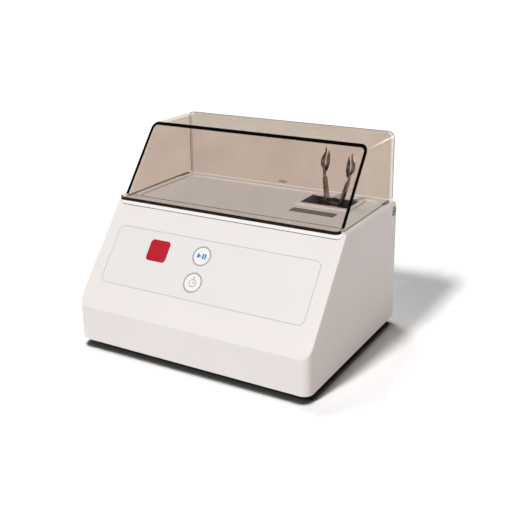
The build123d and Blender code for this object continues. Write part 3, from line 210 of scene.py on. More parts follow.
@dataclass(frozen=True)
class ClearSheet:
    """A tinted sheet that shows what is behind it: each of its faces passes the square root of its tint."""

    name: str
    passes: Colour
    body: Colour
    haze: float = 0.004  # share that the sheet's own body scatters
    haze_swing: float = 0.2
    head_on: float = 0.006  # share mirrored by a face seen square on
    grazing: float = 0.22  # share mirrored by a face seen along
    roughness: float = 0.05
    lets_in: float = 0.97  # what each face passes of the light that falls on what is behind
    ior: float = 1.49
    patch: float = 25.0 * MM
    deeper: float = 0.97  # tint of the deepest patches
    darker: float = 0.85  # body of the darkest patches
    scuff: float = 0.8 * MM

    def material(self) -> bpy.types.Material:
        """Build the sheet's material.

        Returns:
            The material.
        """
        bench = NodeBench(self.name)
        patches = bench.cloud(self.patch, detail=2.0)
        share = bench.spread(patches, 0.0, 1.0)
        through = tuple(math.sqrt(c) for c in self.passes)
        tint = bench.blend(share, through, tuple(self.deeper * c for c in through))
        clear = bench.lay("BsdfTransparent", {"Color": tint})
        scuffs = bench.cloud(self.scuff, Worked.DRAWN_X, 2.0)
        roughness = bench.spread(scuffs, self.roughness, 2.0 * self.roughness)
        body = bench.blend(share, self.body, tuple(self.darker * c for c in self.body))
        skin = bench.lay("BsdfPrincipled", {"Base Color": body, "Roughness": roughness, "IOR": self.ior})
        haze = bench.spread(patches, (1.0 - self.haze_swing) * self.haze, (1.0 + self.haze_swing) * self.haze)
        dusty = bench.lay("MixShader", {0: haze, 1: clear.outputs[0], 2: skin.outputs[0]})
        facing = bench.lay("LayerWeight", {"Blend": 0.5}).outputs["Facing"]
        steep = bench.lay("Math", {0: facing, 1: FRESNEL_POWER}, operation="POWER").outputs[0]
        mirror = bench.lay("BsdfGlossy", {"Color": (1.0, 1.0, 1.0, 1.0), "Roughness": roughness})
        mirrored = bench.spread(steep, self.head_on, self.grazing, 0.0, 1.0)
        surface = bench.lay("MixShader", {0: mirrored, 1: dusty.outputs[0], 2: mirror.outputs[0]})
        rays = bench.lay("LightPath")
        lighting = bench.lay("Math", {0: rays.outputs["Is Shadow Ray"], 1: rays.outputs["Is Diffuse Ray"]},
                             operation="MAXIMUM")
        thin = bench.lay("BsdfTransparent", {"Color": _opaque((self.lets_in,) * 3)})
        lit = bench.lay("MixShader", {0: lighting.outputs[0], 1: surface.outputs[0], 2: thin.outputs[0]})
        return bench.close(lit.outputs[0])


@dataclass(frozen=True)
class Lens:
    """A deep-coloured window, glossy in front, with a slow drift of tone from the light box behind it."""

    name: str
    colour: Colour
    glow: Colour
    roughness: tuple[float, float] = (0.28, 0.4)
    gloss: float = 0.1
    patch: float = 9.0 * MM
    speck: float = 0.5 * MM
    relief: float = 0.004 * MM

    def material(self) -> bpy.types.Material:
        """Build the window's material.

        Returns:
            The material.
        """
        bench = NodeBench(self.name)
        patches = bench.cloud(self.patch, detail=1.0)
        specks = bench.cloud(self.speck, detail=2.0)
        shader = bench.lay("BsdfPrincipled", {
            "Base Color": bench.blend(bench.spread(patches, 0.0, 1.0), self.colour, self.glow),
            "Roughness": bench.spread(specks, *self.roughness),
            "Normal": bench.relief(specks, self.relief),
            "Specular IOR Level": self.gloss,
        })
        return bench.close(shader.outputs[0])


WHITE_HOUSING = Finish(
    "textured_white", colour=(0.80, 0.755, 0.728), shade=(0.78, 0.735, 0.708), roughness=0.5, swing=0.05,
    blotch=60 * MM, grain=0.45 * MM, relief=0.012 * MM, gloss=0.3)
# The deck is the housing's white made paler: painted light that makes up for the dimmer light under the hood
WHITE_DECK_PAINTED_LIGHT = Finish(
    "satin_white_painted_light", colour=(0.905, 0.884, 0.876), shade=(0.885, 0.864, 0.856), roughness=0.5, swing=0.05,
    blotch=45 * MM, grain=0.5 * MM, relief=0.006 * MM, gloss=0.3)
SMOKED_SHEET = ClearSheet("smoked_sheet", passes=(0.717, 0.649, 0.584), body=(0.55, 0.47, 0.40))
SMOKED_PANE = ClearSheet("smoked_pane", passes=(0.70, 0.615, 0.563), body=(0.55, 0.47, 0.40))
SMOKED_REAR = ClearSheet("smoked_rear", passes=(0.695, 0.628, 0.565), body=(0.55, 0.47, 0.40))
SMOKED_EDGE = Finish(
    "smoked_edge", colour=(0.012, 0.008, 0.006), shade=(0.022, 0.015, 0.012), roughness=0.4, swing=0.06,
    blotch=12 * MM, grain=0.4 * MM, relief=0.004 * MM, gloss=0.05)
SMOKED_CUT = Finish(
    "smoked_cut", colour=(0.002, 0.0016, 0.0015), shade=(0.005, 0.004, 0.0035), roughness=0.5, swing=0.06,
    blotch=12 * MM, grain=0.4 * MM, relief=0.004 * MM, gloss=0.0)
SMOKED_END = Finish(
    "smoked_end", colour=(0.02, 0.016, 0.013), shade=(0.04, 0.032, 0.027), roughness=0.5, swing=0.06,
    blotch=12 * MM, grain=0.4 * MM, relief=0.004 * MM, gloss=0.05)
CEMENT_LINE = Finish(
    "cement_line", colour=(0.15, 0.118, 0.10), shade=(0.20, 0.16, 0.135), roughness=0.4, swing=0.06,
    blotch=12 * MM, grain=0.4 * MM, relief=0.004 * MM, gloss=0.2)
PANEL_FILM = Finish(
    "panel_film", colour=(0.765, 0.74, 0.718), shade=(0.75, 0.725, 0.703), roughness=0.46, swing=0.04,
    blotch=40 * MM, grain=0.35 * MM, relief=0.005 * MM, gloss=0.3)
KEY_FILM = Finish(
    "key_film", colour=(0.85, 0.84, 0.825), shade=(0.835, 0.82, 0.80), roughness=0.42, swing=0.04,
    blotch=12 * MM, grain=0.35 * MM, relief=0.005 * MM, gloss=0.3)
GREY_INK = Finish(
    "grey_ink", colour=(0.20, 0.20, 0.21), shade=(0.26, 0.26, 0.27), roughness=0.5, swing=0.05, blotch=8 * MM,
    grain=0.2 * MM, relief=0.002 * MM, gloss=0.1)
PALE_INK = Finish(
    "pale_ink", colour=(0.50, 0.51, 0.515), shade=(0.56, 0.565, 0.57), roughness=0.5, swing=0.05,
    blotch=20 * MM, grain=0.2 * MM, relief=0.002 * MM, gloss=0.2)
BLUE_INK = Finish(
    "blue_ink", colour=(0.02, 0.19, 0.52), shade=(0.03, 0.22, 0.56), roughness=0.5, swing=0.05, blotch=6 * MM,
    grain=0.2 * MM, relief=0.002 * MM, gloss=0.1)
RED_WINDOW = Lens("red_window", colour=(0.43, 0.009, 0.018), glow=(0.50, 0.014, 0.026))
STRIP_FILM = Finish(
    "strip_film", colour=(0.10, 0.085, 0.08), shade=(0.20, 0.18, 0.17), roughness=0.5, swing=0.06,
    blotch=2.5 * MM, grain=0.3 * MM, relief=0.004 * MM)
# The fork well's own dark grey moulding, with painted shade that darkens it further deep in the well
WELL_MOULDING = Finish(
    "well_moulding", colour=(0.085, 0.074, 0.073), shade=(0.11, 0.096, 0.094), roughness=0.5, swing=0.06,
    blotch=14 * MM, grain=0.4 * MM, relief=0.008 * MM, gloss=0.1, painted_shade_reach=22 * MM)
RUBBER = Finish(
    "black_rubber", colour=(0.022, 0.022, 0.022), shade=(0.04, 0.039, 0.038), roughness=0.75, swing=0.08,
    blotch=8 * MM, grain=0.25 * MM, relief=0.02 * MM)
BLACK_MOULDING = Finish(
    "black_moulding", colour=(0.035, 0.035, 0.038), shade=(0.05, 0.05, 0.052), roughness=0.42, swing=0.08,
    blotch=10 * MM, grain=0.3 * MM, relief=0.01 * MM)
NYLON = Finish(
    "natural_nylon", colour=(0.80, 0.78, 0.72), shade=(0.74, 0.72, 0.66), roughness=0.45, swing=0.06,
    blotch=6 * MM, grain=0.3 * MM, relief=0.006 * MM)
# Stainless steel: its dark shade patches are partly the metal's own drawn, uneven tone and partly painted
# dark reflections
POLISHED_STEEL_PAINTED_REFLECTION = Finish(
    "polished_steel_painted_reflection", colour=(0.30, 0.25, 0.21), shade=(0.10, 0.078, 0.064), roughness=0.24, swing=0.06,
    blotch=6 * MM, grain=0.3 * MM, relief=0.006 * MM, metal=1.0, worked=Worked.DRAWN_Z, patchy=0.15)
# Polished claw steel: its near-black shade patches are painted dark reflections
CLAW_STEEL_PAINTED_REFLECTION = Finish(
    "claw_steel_painted_reflection", colour=(0.37, 0.305, 0.26), shade=(0.010, 0.007, 0.006), roughness=0.17, swing=0.05,
    blotch=4.2 * MM, grain=0.3 * MM, relief=0.006 * MM, metal=1.0, patchy=0.06)
ZINC = Finish(
    "zinc_plate", colour=(0.62, 0.61, 0.58), shade=(0.52, 0.52, 0.50), roughness=0.34, swing=0.1,
    blotch=6 * MM, grain=0.3 * MM, relief=0.006 * MM, metal=1.0)
LAMINATIONS = Finish(
    "laminations", colour=(0.33, 0.32, 0.31), shade=(0.16, 0.155, 0.15), roughness=0.5, swing=0.08,
    blotch=12 * MM, grain=0.5 * MM, relief=0.05 * MM, metal=0.9, worked=Worked.STACKED_X)
CAST_ALLOY = Finish(
    "cast_alloy", colour=(0.66, 0.66, 0.65), shade=(0.54, 0.54, 0.53), roughness=0.5, swing=0.08,
    blotch=8 * MM, grain=0.5 * MM, relief=0.05 * MM, metal=0.95)
BRASS = Finish(
    "plain_brass", colour=(0.56, 0.40, 0.25), shade=(0.34, 0.24, 0.15), roughness=0.3, swing=0.08,
    blotch=5 * MM, grain=0.3 * MM, relief=0.006 * MM, metal=1.0)
CARBON = Finish(
    "pressed_carbon", colour=(0.05, 0.05, 0.05), shade=(0.08, 0.08, 0.082), roughness=0.55, swing=0.08,
    blotch=4 * MM, grain=0.3 * MM, relief=0.02 * MM)
BOARD_GREEN = Finish(
    "solder_mask", colour=(0.03, 0.19, 0.08), shade=(0.04, 0.24, 0.11), roughness=0.35, swing=0.06,
    blotch=10 * MM, grain=0.5 * MM, relief=0.01 * MM)
MAGNET = Finish(
    "coated_magnet", colour=(0.38, 0.365, 0.35), shade=(0.44, 0.425, 0.405), roughness=0.4, swing=0.08,
    blotch=4 * MM, grain=0.3 * MM, relief=0.01 * MM)


@dataclass(frozen=True)
class FloorSheet:
    """The studio's floor: pale paper, white to the eye, that gives back less light than it seems to."""

    name: str = "pale_floor"
    seen: float = 1.36  # how pale it looks
    gives: float = 0.80  # how pale it is to other surfaces
    fibre: float = 4.0 * MM
    fibre_tone: float = 0.985
    painted_contact_reach: float = 11.0 * MM  # painted contact shadow: how near a base has to be for the paper's colour to darken
    painted_contact_samples: int = 24
    painted_contact_tone: float = 0.05
    painted_contact_range: tuple[float, float] = (0.69, 0.78)  # ambient-occlusion value where the painted contact shadow is full, and where it ends

    def material(self) -> bpy.types.Material:
        """Build the floor's material.

        Returns:
            The material.
        """
        bench = NodeBench(self.name)
        rays = bench.lay("LightPath")
        direct = bench.lay("Math", {0: rays.outputs["Is Camera Ray"], 1: rays.outputs["Is Glossy Ray"]},
                           operation="MAXIMUM")
        seen = bench.lay("Math", {0: direct.outputs[0], 1: rays.outputs["Is Transmission Ray"]},
                         operation="MAXIMUM")
        fibres = bench.spread(bench.cloud(self.fibre), self.fibre_tone, 1.0)
        level = bench.spread(seen.outputs[0], self.gives, self.seen, 0.0, 1.0)
        # painted contact shadow: the paper's colour is darkened under and beside the object's base
        overhead = bench.lay("AmbientOcclusion", {"Distance": self.painted_contact_reach}, samples=self.painted_contact_samples)
        openness = bench.spread(overhead.outputs["AO"], self.painted_contact_tone, 1.0, *self.painted_contact_range)
        level = bench.lay("Math", {0: level, 1: openness}, operation="MULTIPLY").outputs[0]
        tone = bench.lay("Math", {0: level, 1: fibres}, operation="MULTIPLY").outputs[0]
        colour = bench.lay("CombineColor", {0: tone, 1: tone, 2: tone}).outputs[0]
        return bench.close(bench.lay("BsdfDiffuse", {"Color": colour}).outputs[0])


SLOT_FINISHES = {
    "housing_white": WHITE_HOUSING,
    "deck_white": WHITE_DECK_PAINTED_LIGHT,
    "smoked_acrylic": SMOKED_SHEET,
    "overlay_film": PANEL_FILM,
    "red_lens": RED_WINDOW,
    "key_film": KEY_FILM,
    "dark_strip": STRIP_FILM,
    "well_grey": WELL_MOULDING,
    "black_rubber": RUBBER,
    "black_plastic": BLACK_MOULDING,
    "nylon_white": NYLON,
    "stainless": POLISHED_STEEL_PAINTED_REFLECTION,
    "steel": ZINC,
    "lamination": LAMINATIONS,
    "aluminium_cast": CAST_ALLOY,
    "brass": BRASS,
    "carbon": CARBON,
    "board_green": BOARD_GREEN,
    "magnet_grey": MAGNET,
}
NODE_FINISHES = {
    "hood_pane": SMOKED_PANE,
    "hood_rear_pane": SMOKED_REAR,
    "right_claw": CLAW_STEEL_PAINTED_REFLECTION,
    "left_claw": CLAW_STEEL_PAINTED_REFLECTION,
}


class FinishStore:
    """Hands out each finish's material, built once."""

    def __init__(self) -> None:
        """Start with no material built."""
        self._built: dict[str, bpy.types.Material] = {}

    def get(self, finish: Finish | ClearSheet | Lens | FloorSheet) -> bpy.types.Material:
        """Find or build a finish's material.

        Args:
            finish: The finish.

        Returns:
            Its material.
        """
        if finish.name not in self._built:
            self._built[finish.name] = finish.material()
        return self._built[finish.name]


# ---------------------------------------------------------------- outlines and thin pieces
Outline = list[tuple[float, float]]


def arc(centre: tuple[float, float], radius: float, start: float, turn: float, steps: int = 8) -> Outline:
    """Points along an arc, both ends included, from a start angle on by a turn, both in degrees."""
    angles = (math.radians(start + turn * n / steps) for n in range(steps + 1))
    return [(centre[0] + radius * math.cos(a), centre[1] + radius * math.sin(a)) for a in angles]


def ring_points(centre: tuple[float, float], radius: float, count: int = 64) -> Outline:
    """Points round a full circle, the first one not repeated."""
    return arc(centre, radius, 0.0, 360.0, count)[:-1]


def soft_rectangle(middle: tuple[float, float], width: float, height: float, radius: float) -> Outline:
    """A rectangle with round corners.

    Args:
        middle: Its middle.
        width: Its whole width.
        height: Its whole height.
        radius: Its corners' radius.

    Returns:
        The points, anticlockwise.
    """
    points: Outline = []
    for quarter, (across, up) in enumerate(((1, 1), (-1, 1), (-1, -1), (1, -1))):
        corner = (middle[0] + across * (width / 2 - radius), middle[1] + up * (height / 2 - radius))
        points += arc(corner, radius, 90.0 * quarter, 90.0)
    return points


@dataclass
class Piece:
    """The points and faces of one new piece, gathered before it becomes an object."""

    name: str
    points: list[Vector] = field(default_factory=list)
    faces: list[tuple[int, ...]] = field(default_factory=list)

    def slab(self, outline: Iterable[Vector], depth: Vector) -> None:
        """Add a solid plate.

        Args:
            outline: Its upper edge.
            depth: From the upper edge to the lower.
        """
        top = list(outline)
        count, first = len(top), len(self.points)
        self.points += top + [p + depth for p in top]
        self.faces.append(tuple(range(first, first + count)))
        self.faces.append(tuple(reversed(range(first + count, first + 2 * count))))
        for n in range(count):
            here, after = first + n, first + (n + 1) % count
            self.faces.append((here, here + count, after + count, after))

    def band(self, outer: Sequence[Vector], inner: Sequence[Vector], depth: Vector,
             closed: bool = True) -> None:
        """Add a solid band between two edges with the same number of points.

        Args:
            outer: One edge of its upper side.
            inner: The other edge.
            depth: From the upper side to the lower.
            closed: Whether the band meets itself.
        """
        count, first = len(outer), len(self.points)
        rows = [list(outer), list(inner), [p + depth for p in inner], [p + depth for p in outer]]
        for row in rows:
            self.points += row
        last = count if closed else count - 1
        for row in range(4):
            here, beside = first + row * count, first + (row + 1) % 4 * count
            for n in range(last):
                after = (n + 1) % count
                self.faces.append((here + n, here + after, beside + after, beside + n))
        if not closed:
            self.faces.append(tuple(first + row * count for row in range(4)))
            self.faces.append(tuple(first + row * count + count - 1 for row in reversed(range(4))))

    def make(self, material: bpy.types.Material, body: str) -> bpy.types.Object:
        """Turn the points and faces into an object that rides on a body.

        Args:
            material: Its finish.
            body: The body that carries it.

        Returns:
            The object.
        """
        mesh = bpy.data.meshes.new(self.name)
        mesh.from_pydata(self.points, [], self.faces)
        shape = bmesh.new()
        shape.from_mesh(mesh)
        bmesh.ops.recalc_face_normals(shape, faces=shape.faces)
        shape.to_mesh(mesh)
        shape.free()
        mesh.materials.append(material)
        mesh.shade_smooth()
        mesh.set_sharp_from_angle(angle=SHARP_ANGLE)
        made = bpy.data.objects.new(self.name, mesh)
        bpy.context.scene.collection.objects.link(made)
        made.visible_shadow = False  # print and trim lie on solids that throw the shadow themselves
        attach(made, body)
        LOG.info("%s: %d faces, on %s", self.name, len(mesh.polygons), body)
        return made


@dataclass
class Bench:
    """What every sub-assembly needs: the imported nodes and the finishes."""

    nodes: dict[str, bpy.types.Object]
    finishes: FinishStore

    def dress(self, solids: Iterable[str]) -> None:
        """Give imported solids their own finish, or else the one that their slot names.

        Args:
            solids: The solids' names.
        """
        for node in solids:
            slot = self.nodes[node].material_slots[0]
            finish = NODE_FINISHES.get(node) or SLOT_FINISHES[slot.material.name.split(".")[0]]
            slot.material = self.finishes.get(finish)
            LOG.info("%s: %s", node, finish.name)


# ---------------------------------------------------------------- sub-assemblies
@dataclass
class Enclosure:
    """The white housing, the deck set into it, the base and the feet."""

    bench: Bench
    solids: tuple[str, ...] = (
        "housing", "base_plate", "rubber_feet", "deck", "fork_well", "case_screws", "label_strip",
        "interlock_switch", "hinge_bushes", "hinge_screws", "hinge_cups",
    )

    def build(self) -> None:
        """Dress the enclosure's solids."""
        self.bench.dress(self.solids)


@dataclass
class Hood:
    """The smoked hood, with the dark look of its sheet's cut edges."""

    bench: Bench
    bend_r: float = 6.5 * MM
    lip_r: float = 5.5 * MM
    edge_depth: float = 0.35 * MM
    edge_proud: float = 0.02 * MM  # how far an edge's face stands from the sheet's own
    edge_width: float = 2.7 * MM
    foot_width: float = 0.7 * MM
    ear_gap: float = 9.0 * MM  # how far before the hinge cups a foot edge ends
    rear_width: float = 0.5 * MM
    rear_reach: float = 0.3 * MM
    seam_width: float = 0.9 * MM
    solids: tuple[str, ...] = ("hood_shell", "hood_pane", "hood_rear_pane", "interlock_magnet")

    def build(self) -> None:
        """Dress the hood and add its edges."""
        self.bench.dress(self.solids)
        self.front_edge()
        self.lip_edge()
        self.foot_edges()
        self.rear_edge()
        self.rear_tint()
        self.pane_seam()

    def arch(self, inset: float, low: float) -> Outline:
        """The sheet's section across the hood, from one foot over the top to the other.

        Args:
            inset: How far inside the sheet's outer face.
            low: Height of the feet.

        Returns:
            Points in X and Z.
        """
        _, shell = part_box("hood_shell")
        half, top = shell.x - inset, shell.z - inset
        radius = self.bend_r - inset
        right = [(half, low)] + arc((half - radius, top - radius), radius, 0.0, 90.0)
        return right + [(-x, z) for x, z in reversed(right)]

    def fit(self, piece: Piece, finish: Finish | ClearSheet) -> bpy.types.Object:
        """Make a piece that rides on the hood."""
        return piece.make(self.bench.finishes.get(finish), "hood")

    def front_edge(self) -> bpy.types.Object:
        """The sheet's front edge, cut back along the pane.

        Returns:
            The edge.
        """
        low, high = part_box("hood_pane")
        foot, roof = low.z + SHEET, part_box("hood_shell")[1].z
        start = self.pane_front()
        lean = (self.pane_head() - start) / (high.z - foot)
        outward = Vector((0.0, -1.0, lean)).normalized()
        proud = self.edge_proud * outward

        def on_pane(outline: Outline) -> list[Vector]:
            """Stand a section's points on the pane's outer face, none above the hood's top."""
            return [Vector((x, start + (z - foot) * lean + proud.y, min(z + proud.z, roof)))
                    for x, z in outline]

        piece = Piece("hood_front_edge")
        piece.band(on_pane(self.arch(0.0, foot)), on_pane(self.arch(self.edge_width, foot)),
                   -(self.edge_depth + self.edge_proud) * outward, closed=False)
        return self.fit(piece, SMOKED_CUT)

    def pane_front(self) -> float:
        """Y of the pane's foot, where the sheet's front edge starts."""
        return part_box("hood_shell")[0].y

    def pane_head(self) -> float:
        """Y of the pane's head, on its outer face."""
        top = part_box("hood_pane")[1].z
        return min(v.co.y for v in self.bench.nodes["hood_pane"].data.vertices if v.co.z > top - HAIR)

    def lip_edge(self) -> bpy.types.Object:
        """The lifting lip's edge, round its two front corners.

        Returns:
            The edge.
        """
        low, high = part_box("hood_pane")
        bottom = low.z

        def around(inset: float) -> Outline:
            """The lip's outline.

            Args:
                inset: How far inside the lip.

            Returns:
                Points in X and Y, from the left side round the front to the right.
            """
            half, front, radius = high.x - inset, low.y + inset, self.lip_r - inset
            right = arc((half - radius, front + radius), radius, -90.0, 90.0)
            return [(-x, y) for x, y in reversed(right)] + right

        piece = Piece("hood_lip_edge")
        outer = [Vector((x, y, bottom + SHEET)) for x, y in around(-self.edge_proud)]
        inner = [Vector((x, y, bottom + SHEET)) for x, y in around(self.edge_depth)]
        piece.band(outer, inner, Vector((0.0, 0.0, -SHEET)), closed=False)
        return self.fit(piece, SMOKED_EDGE)

    def pane_seam(self) -> bpy.types.Object:
        """The cemented line where the pane and the sheet's sides stand on the lip.

        Returns:
            The line.
        """
        low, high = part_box("hood_pane")
        top, front = low.z + SHEET, self.pane_front()
        piece = Piece("hood_pane_seam")
        corners = [(-high.x, front - self.seam_width), (high.x, front - self.seam_width), (high.x, front),
                   (-high.x, front)]
        piece.slab([Vector((x, y, top + self.edge_proud)) for x, y in corners],
                   Vector((0.0, 0.0, -self.edge_depth)))
        return self.fit(piece, CEMENT_LINE)

    def foot_edges(self) -> bpy.types.Object:
        """The lower edges of the sheet's two sides.

        Returns:
            The edges.
        """
        shell_low, shell_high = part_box("hood_shell")
        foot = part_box("hood_pane")[0].z
        ear_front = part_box("hinge_cups")[0].y - self.ear_gap
        piece = Piece("hood_foot_edges")
        for side in (-1.0, 1.0):
            near, far = side * (shell_high.x - self.foot_width), side * shell_high.x
            corners = [(near, shell_low.y), (far, shell_low.y), (far, ear_front), (near, ear_front)]
            piece.slab([Vector((x, y, foot + self.edge_depth)) for x, y in corners],
                       Vector((0.0, 0.0, -self.edge_depth - self.edge_proud)))
        return self.fit(piece, SMOKED_EDGE)

    def rear_edge(self) -> bpy.types.Object:
        """The dark line round the outside of the sheet's rear edge.

        Returns:
            The line.
        """
        foot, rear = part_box("hood_rear_pane")[0].z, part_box("hood_shell")[1].y - self.edge_proud
        outer, inner = ([Vector((x, rear, z)) for x, z in self.arch(inset, foot)]
                        for inset in (self.edge_proud, self.rear_width))
        piece = Piece("hood_rear_edge")
        piece.band(outer, inner, Vector((0.0, -self.rear_reach, 0.0)), closed=False)
        return self.fit(piece, SMOKED_END)

    def rear_tint(self) -> bpy.types.Object:
        """The tint that the sheet's rear edge keeps along the top, over the rear pane.

        Returns:
            The tinted face.
        """
        _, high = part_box("hood_shell")
        half, rear = high.x - self.bend_r, high.y - self.edge_proud
        top, bottom = high.z - self.rear_width - self.edge_proud, high.z - SHEET
        corners = [(-half, bottom), (half, bottom), (half, top), (-half, top)]
        piece = Piece("hood_rear_tint")
        piece.slab([Vector((x, rear, z)) for x, z in corners], Vector((0.0, -self.edge_depth, 0.0)))
        return self.fit(piece, SMOKED_SHEET)


FORWARD, UPWARD = -0.5, 0.3  # a face of the slope leans past both, in Y and in Z


@dataclass
class SlopeFace:
    """The control slope as a flat sheet to print on: across to the right, up the slope, and out of it."""

    origin: Vector
    up: Vector
    out: Vector

    @classmethod
    def from_overlay(cls, overlay: bpy.types.Object) -> "SlopeFace":
        """Find the slope from the outer face of the overlay that lies flush in it.

        Args:
            overlay: The overlay's solid.

        Returns:
            The slope, its origin in the middle of the overlay's lower edge.
        """
        leaning = [face for face in overlay.data.polygons
                   if face.normal.y < FORWARD and face.normal.z > UPWARD]
        out = max(leaning, key=lambda face: face.area).normal.copy()
        up = Vector((1.0, 0.0, 0.0)).cross(-out).normalized()
        points = [vertex.co for vertex in overlay.data.vertices]
        level = max(point.dot(out) for point in points)
        lowest = min(point.dot(up) for point in points if point.dot(out) > level - HAIR)
        return cls(lowest * up + level * out, up, out)

    def at(self, x: float, s: float, lift: float = 0.0) -> Vector:
        """A point x across from the middle, s up from the overlay's lower edge, lifted out of the slope."""
        return self.origin + Vector((x, 0.0, 0.0)) + s * self.up + lift * self.out

    def find(self, node: str) -> tuple[float, float]:
        """Middle of a solid.

        Args:
            node: The solid's name.

        Returns:
            Its place across and up the slope.
        """
        low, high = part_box(node)
        middle = (low + high) / 2 - self.origin
        return middle.x, middle.dot(self.up)


@dataclass
class ControlPanel:
    """The printed overlay, the display window and the two keys, with their printed marks."""

    bench: Bench
    ink: float = 0.03 * MM  # how far the print stands out of the face, and how far it goes in
    corner_r: float = 6.0 * MM
    rim: float = 0.55 * MM
    rim_inset: float = 0.15 * MM
    ring_r: float = 8.9 * MM
    ring_width: float = 0.75 * MM
    mark_half: float = 2.5 * MM  # half the start mark's height
    triangle: tuple[float, float] = (-4.6 * MM, -0.4 * MM)  # its back and its tip, across from the middle
    bars: tuple[float, float] = (0.5 * MM, 2.9 * MM)  # their left sides
    bar_width: float = 1.6 * MM
    clock_drop: float = 0.4 * MM  # how far the dial lies below the key's middle
    clock_radii: tuple[float, float] = (3.6 * MM, 3.0 * MM)
    clock_points: int = 40
    pen: float = 0.3 * MM  # half a stroke's width
    hands_and_knob: tuple[tuple[float, float, float, float], ...] = (  # each stroke's two ends
        (0.0, -0.4 * MM, 0.0, 1.7 * MM), (0.45 * MM, -0.4 * MM, 1.7 * MM, -0.4 * MM),
        (0.0, 3.35 * MM, 0.0, 4.5 * MM), (-0.9 * MM, 4.8 * MM, 0.9 * MM, 4.8 * MM),
    )
    solids: tuple[str, ...] = (
        "control_overlay", "display_window", "start_key", "timer_key", "tact_switches", "display_module",
        "control_board", "board_screws",
    )

    def build(self) -> None:
        """Dress the panel and print its marks."""
        self.bench.dress(self.solids)
        face = SlopeFace.from_overlay(self.bench.nodes["control_overlay"])
        self.outline(face)
        self.start_mark(face)
        self.timer_mark(face)

    def lay(self, face: SlopeFace, outline: Outline) -> list[Vector]:
        """Lift an outline's points to the top of the ink."""
        return [face.at(x, s, self.ink) for x, s in outline]

    def outline(self, face: SlopeFace) -> bpy.types.Object:
        """The fine line round the overlay.

        Args:
            face: The slope.

        Returns:
            The line.
        """
        low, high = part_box("control_overlay")
        width = high.x - low.x
        height = 2 * face.find("control_overlay")[1]
        middle = (0.0, height / 2)
        piece = Piece("overlay_outline")
        edges = [soft_rectangle(middle, width - 2 * inset, height - 2 * inset, self.corner_r - inset)
                 for inset in (self.rim_inset, self.rim_inset + self.rim)]
        piece.band(self.lay(face, edges[0]), self.lay(face, edges[1]), -2 * self.ink * face.out)
        return piece.make(self.bench.finishes.get(PALE_INK), "chassis")

    def ring(self, piece: Piece, face: SlopeFace, middle: tuple[float, float]) -> None:
        """Add the ring printed round a key's middle to a piece."""
        edges = [ring_points(middle, r) for r in (self.ring_r, self.ring_r - self.ring_width)]
        piece.band(self.lay(face, edges[0]), self.lay(face, edges[1]), -2 * self.ink * face.out)

    def start_mark(self, face: SlopeFace) -> None:
        """The start key's ring, and its triangle and two bars.

        Args:
            face: The slope.
        """
        x, s = self.key_middle(face, "start_key")
        ring = Piece("start_key_ring")
        self.ring(ring, face, (x, s))
        ring.make(self.bench.finishes.get(GREY_INK), "start_key")
        half = self.mark_half
        mark = Piece("start_key_mark")
        back, tip = (x + end for end in self.triangle)
        mark.slab(self.lay(face, [(back, s - half), (tip, s), (back, s + half)]), -2 * self.ink * face.out)
        for shift in self.bars:
            left, right = x + shift, x + shift + self.bar_width
            bar = [(left, s - half), (right, s - half), (right, s + half), (left, s + half)]
            mark.slab(self.lay(face, bar), -2 * self.ink * face.out)
        mark.make(self.bench.finishes.get(BLUE_INK), "start_key")

    def timer_mark(self, face: SlopeFace) -> None:
        """The timer key's ring, and a clock: its rim, two hands, and the knob on its stem.

        Args:
            face: The slope.
        """
        x, s = self.key_middle(face, "timer_key")
        ring = Piece("timer_key_ring")
        self.ring(ring, face, (x, s))
        ring.make(self.bench.finishes.get(GREY_INK), "timer_key")
        mark = Piece("timer_key_mark")
        outer, inner = (ring_points((x, s - self.clock_drop), r, self.clock_points) for r in self.clock_radii)
        depth = -2 * self.ink * face.out
        mark.band(self.lay(face, outer), self.lay(face, inner), depth)
        for x0, s0, x1, s1 in self.hands_and_knob:
            wide, tall = (self.pen, 0.0) if x0 == x1 else (0.0, self.pen)
            bar = [(x + x0 - wide, s + s0 - tall), (x + x1 + wide, s + s0 - tall),
                   (x + x1 + wide, s + s1 + tall), (x + x0 - wide, s + s1 + tall)]
            mark.slab(self.lay(face, bar), depth)
        mark.make(self.bench.finishes.get(GREY_INK), "timer_key")

    def key_middle(self, face: SlopeFace, node: str) -> tuple[float, float]:
        """Middle of a key's round face.

        Args:
            face: The slope.
            node: The key's name.

        Returns:
            Its place across and up the slope.
        """
        top = [v.co - face.origin for v in self.bench.nodes[node].data.vertices
               if abs((v.co - face.origin).dot(face.out)) < HAIR]
        across = [p.x for p in top]
        along = [p.dot(face.up) for p in top]
        return (min(across) + max(across)) / 2, (min(along) + max(along)) / 2


@dataclass
class ForkDrive:
    """The skewed hub, the fork that nods on it, its arms and its claws."""

    bench: Bench
    solids: tuple[str, ...] = (
        "motor_shaft", "armature", "commutator", "skew_hub", "hub_grub_screw", "balance_weight",
        "bearing_inner_ring", "hub_washer", "shaft_nut", "bearing_outer_ring", "bearing_balls", "fork_yoke",
        "right_arm", "left_arm", "arm_rivets", "right_claw", "left_claw", "restraint_spring",
    )

    def build(self) -> None:
        """Dress the drive's solids."""
        self.bench.dress(self.solids)


@dataclass
class MotorPack:
    """The motor's fixed parts and the bracket that carries them."""

    bench: Bench
    solids: tuple[str, ...] = (
        "motor_can", "front_bell", "rear_bell", "shaft_bearings", "field_stack", "brushes", "motor_bracket",
        "motor_screws", "rubber_mounts",
    )

    def build(self) -> None:
        """Dress the motor's solids."""
        self.bench.dress(self.solids)


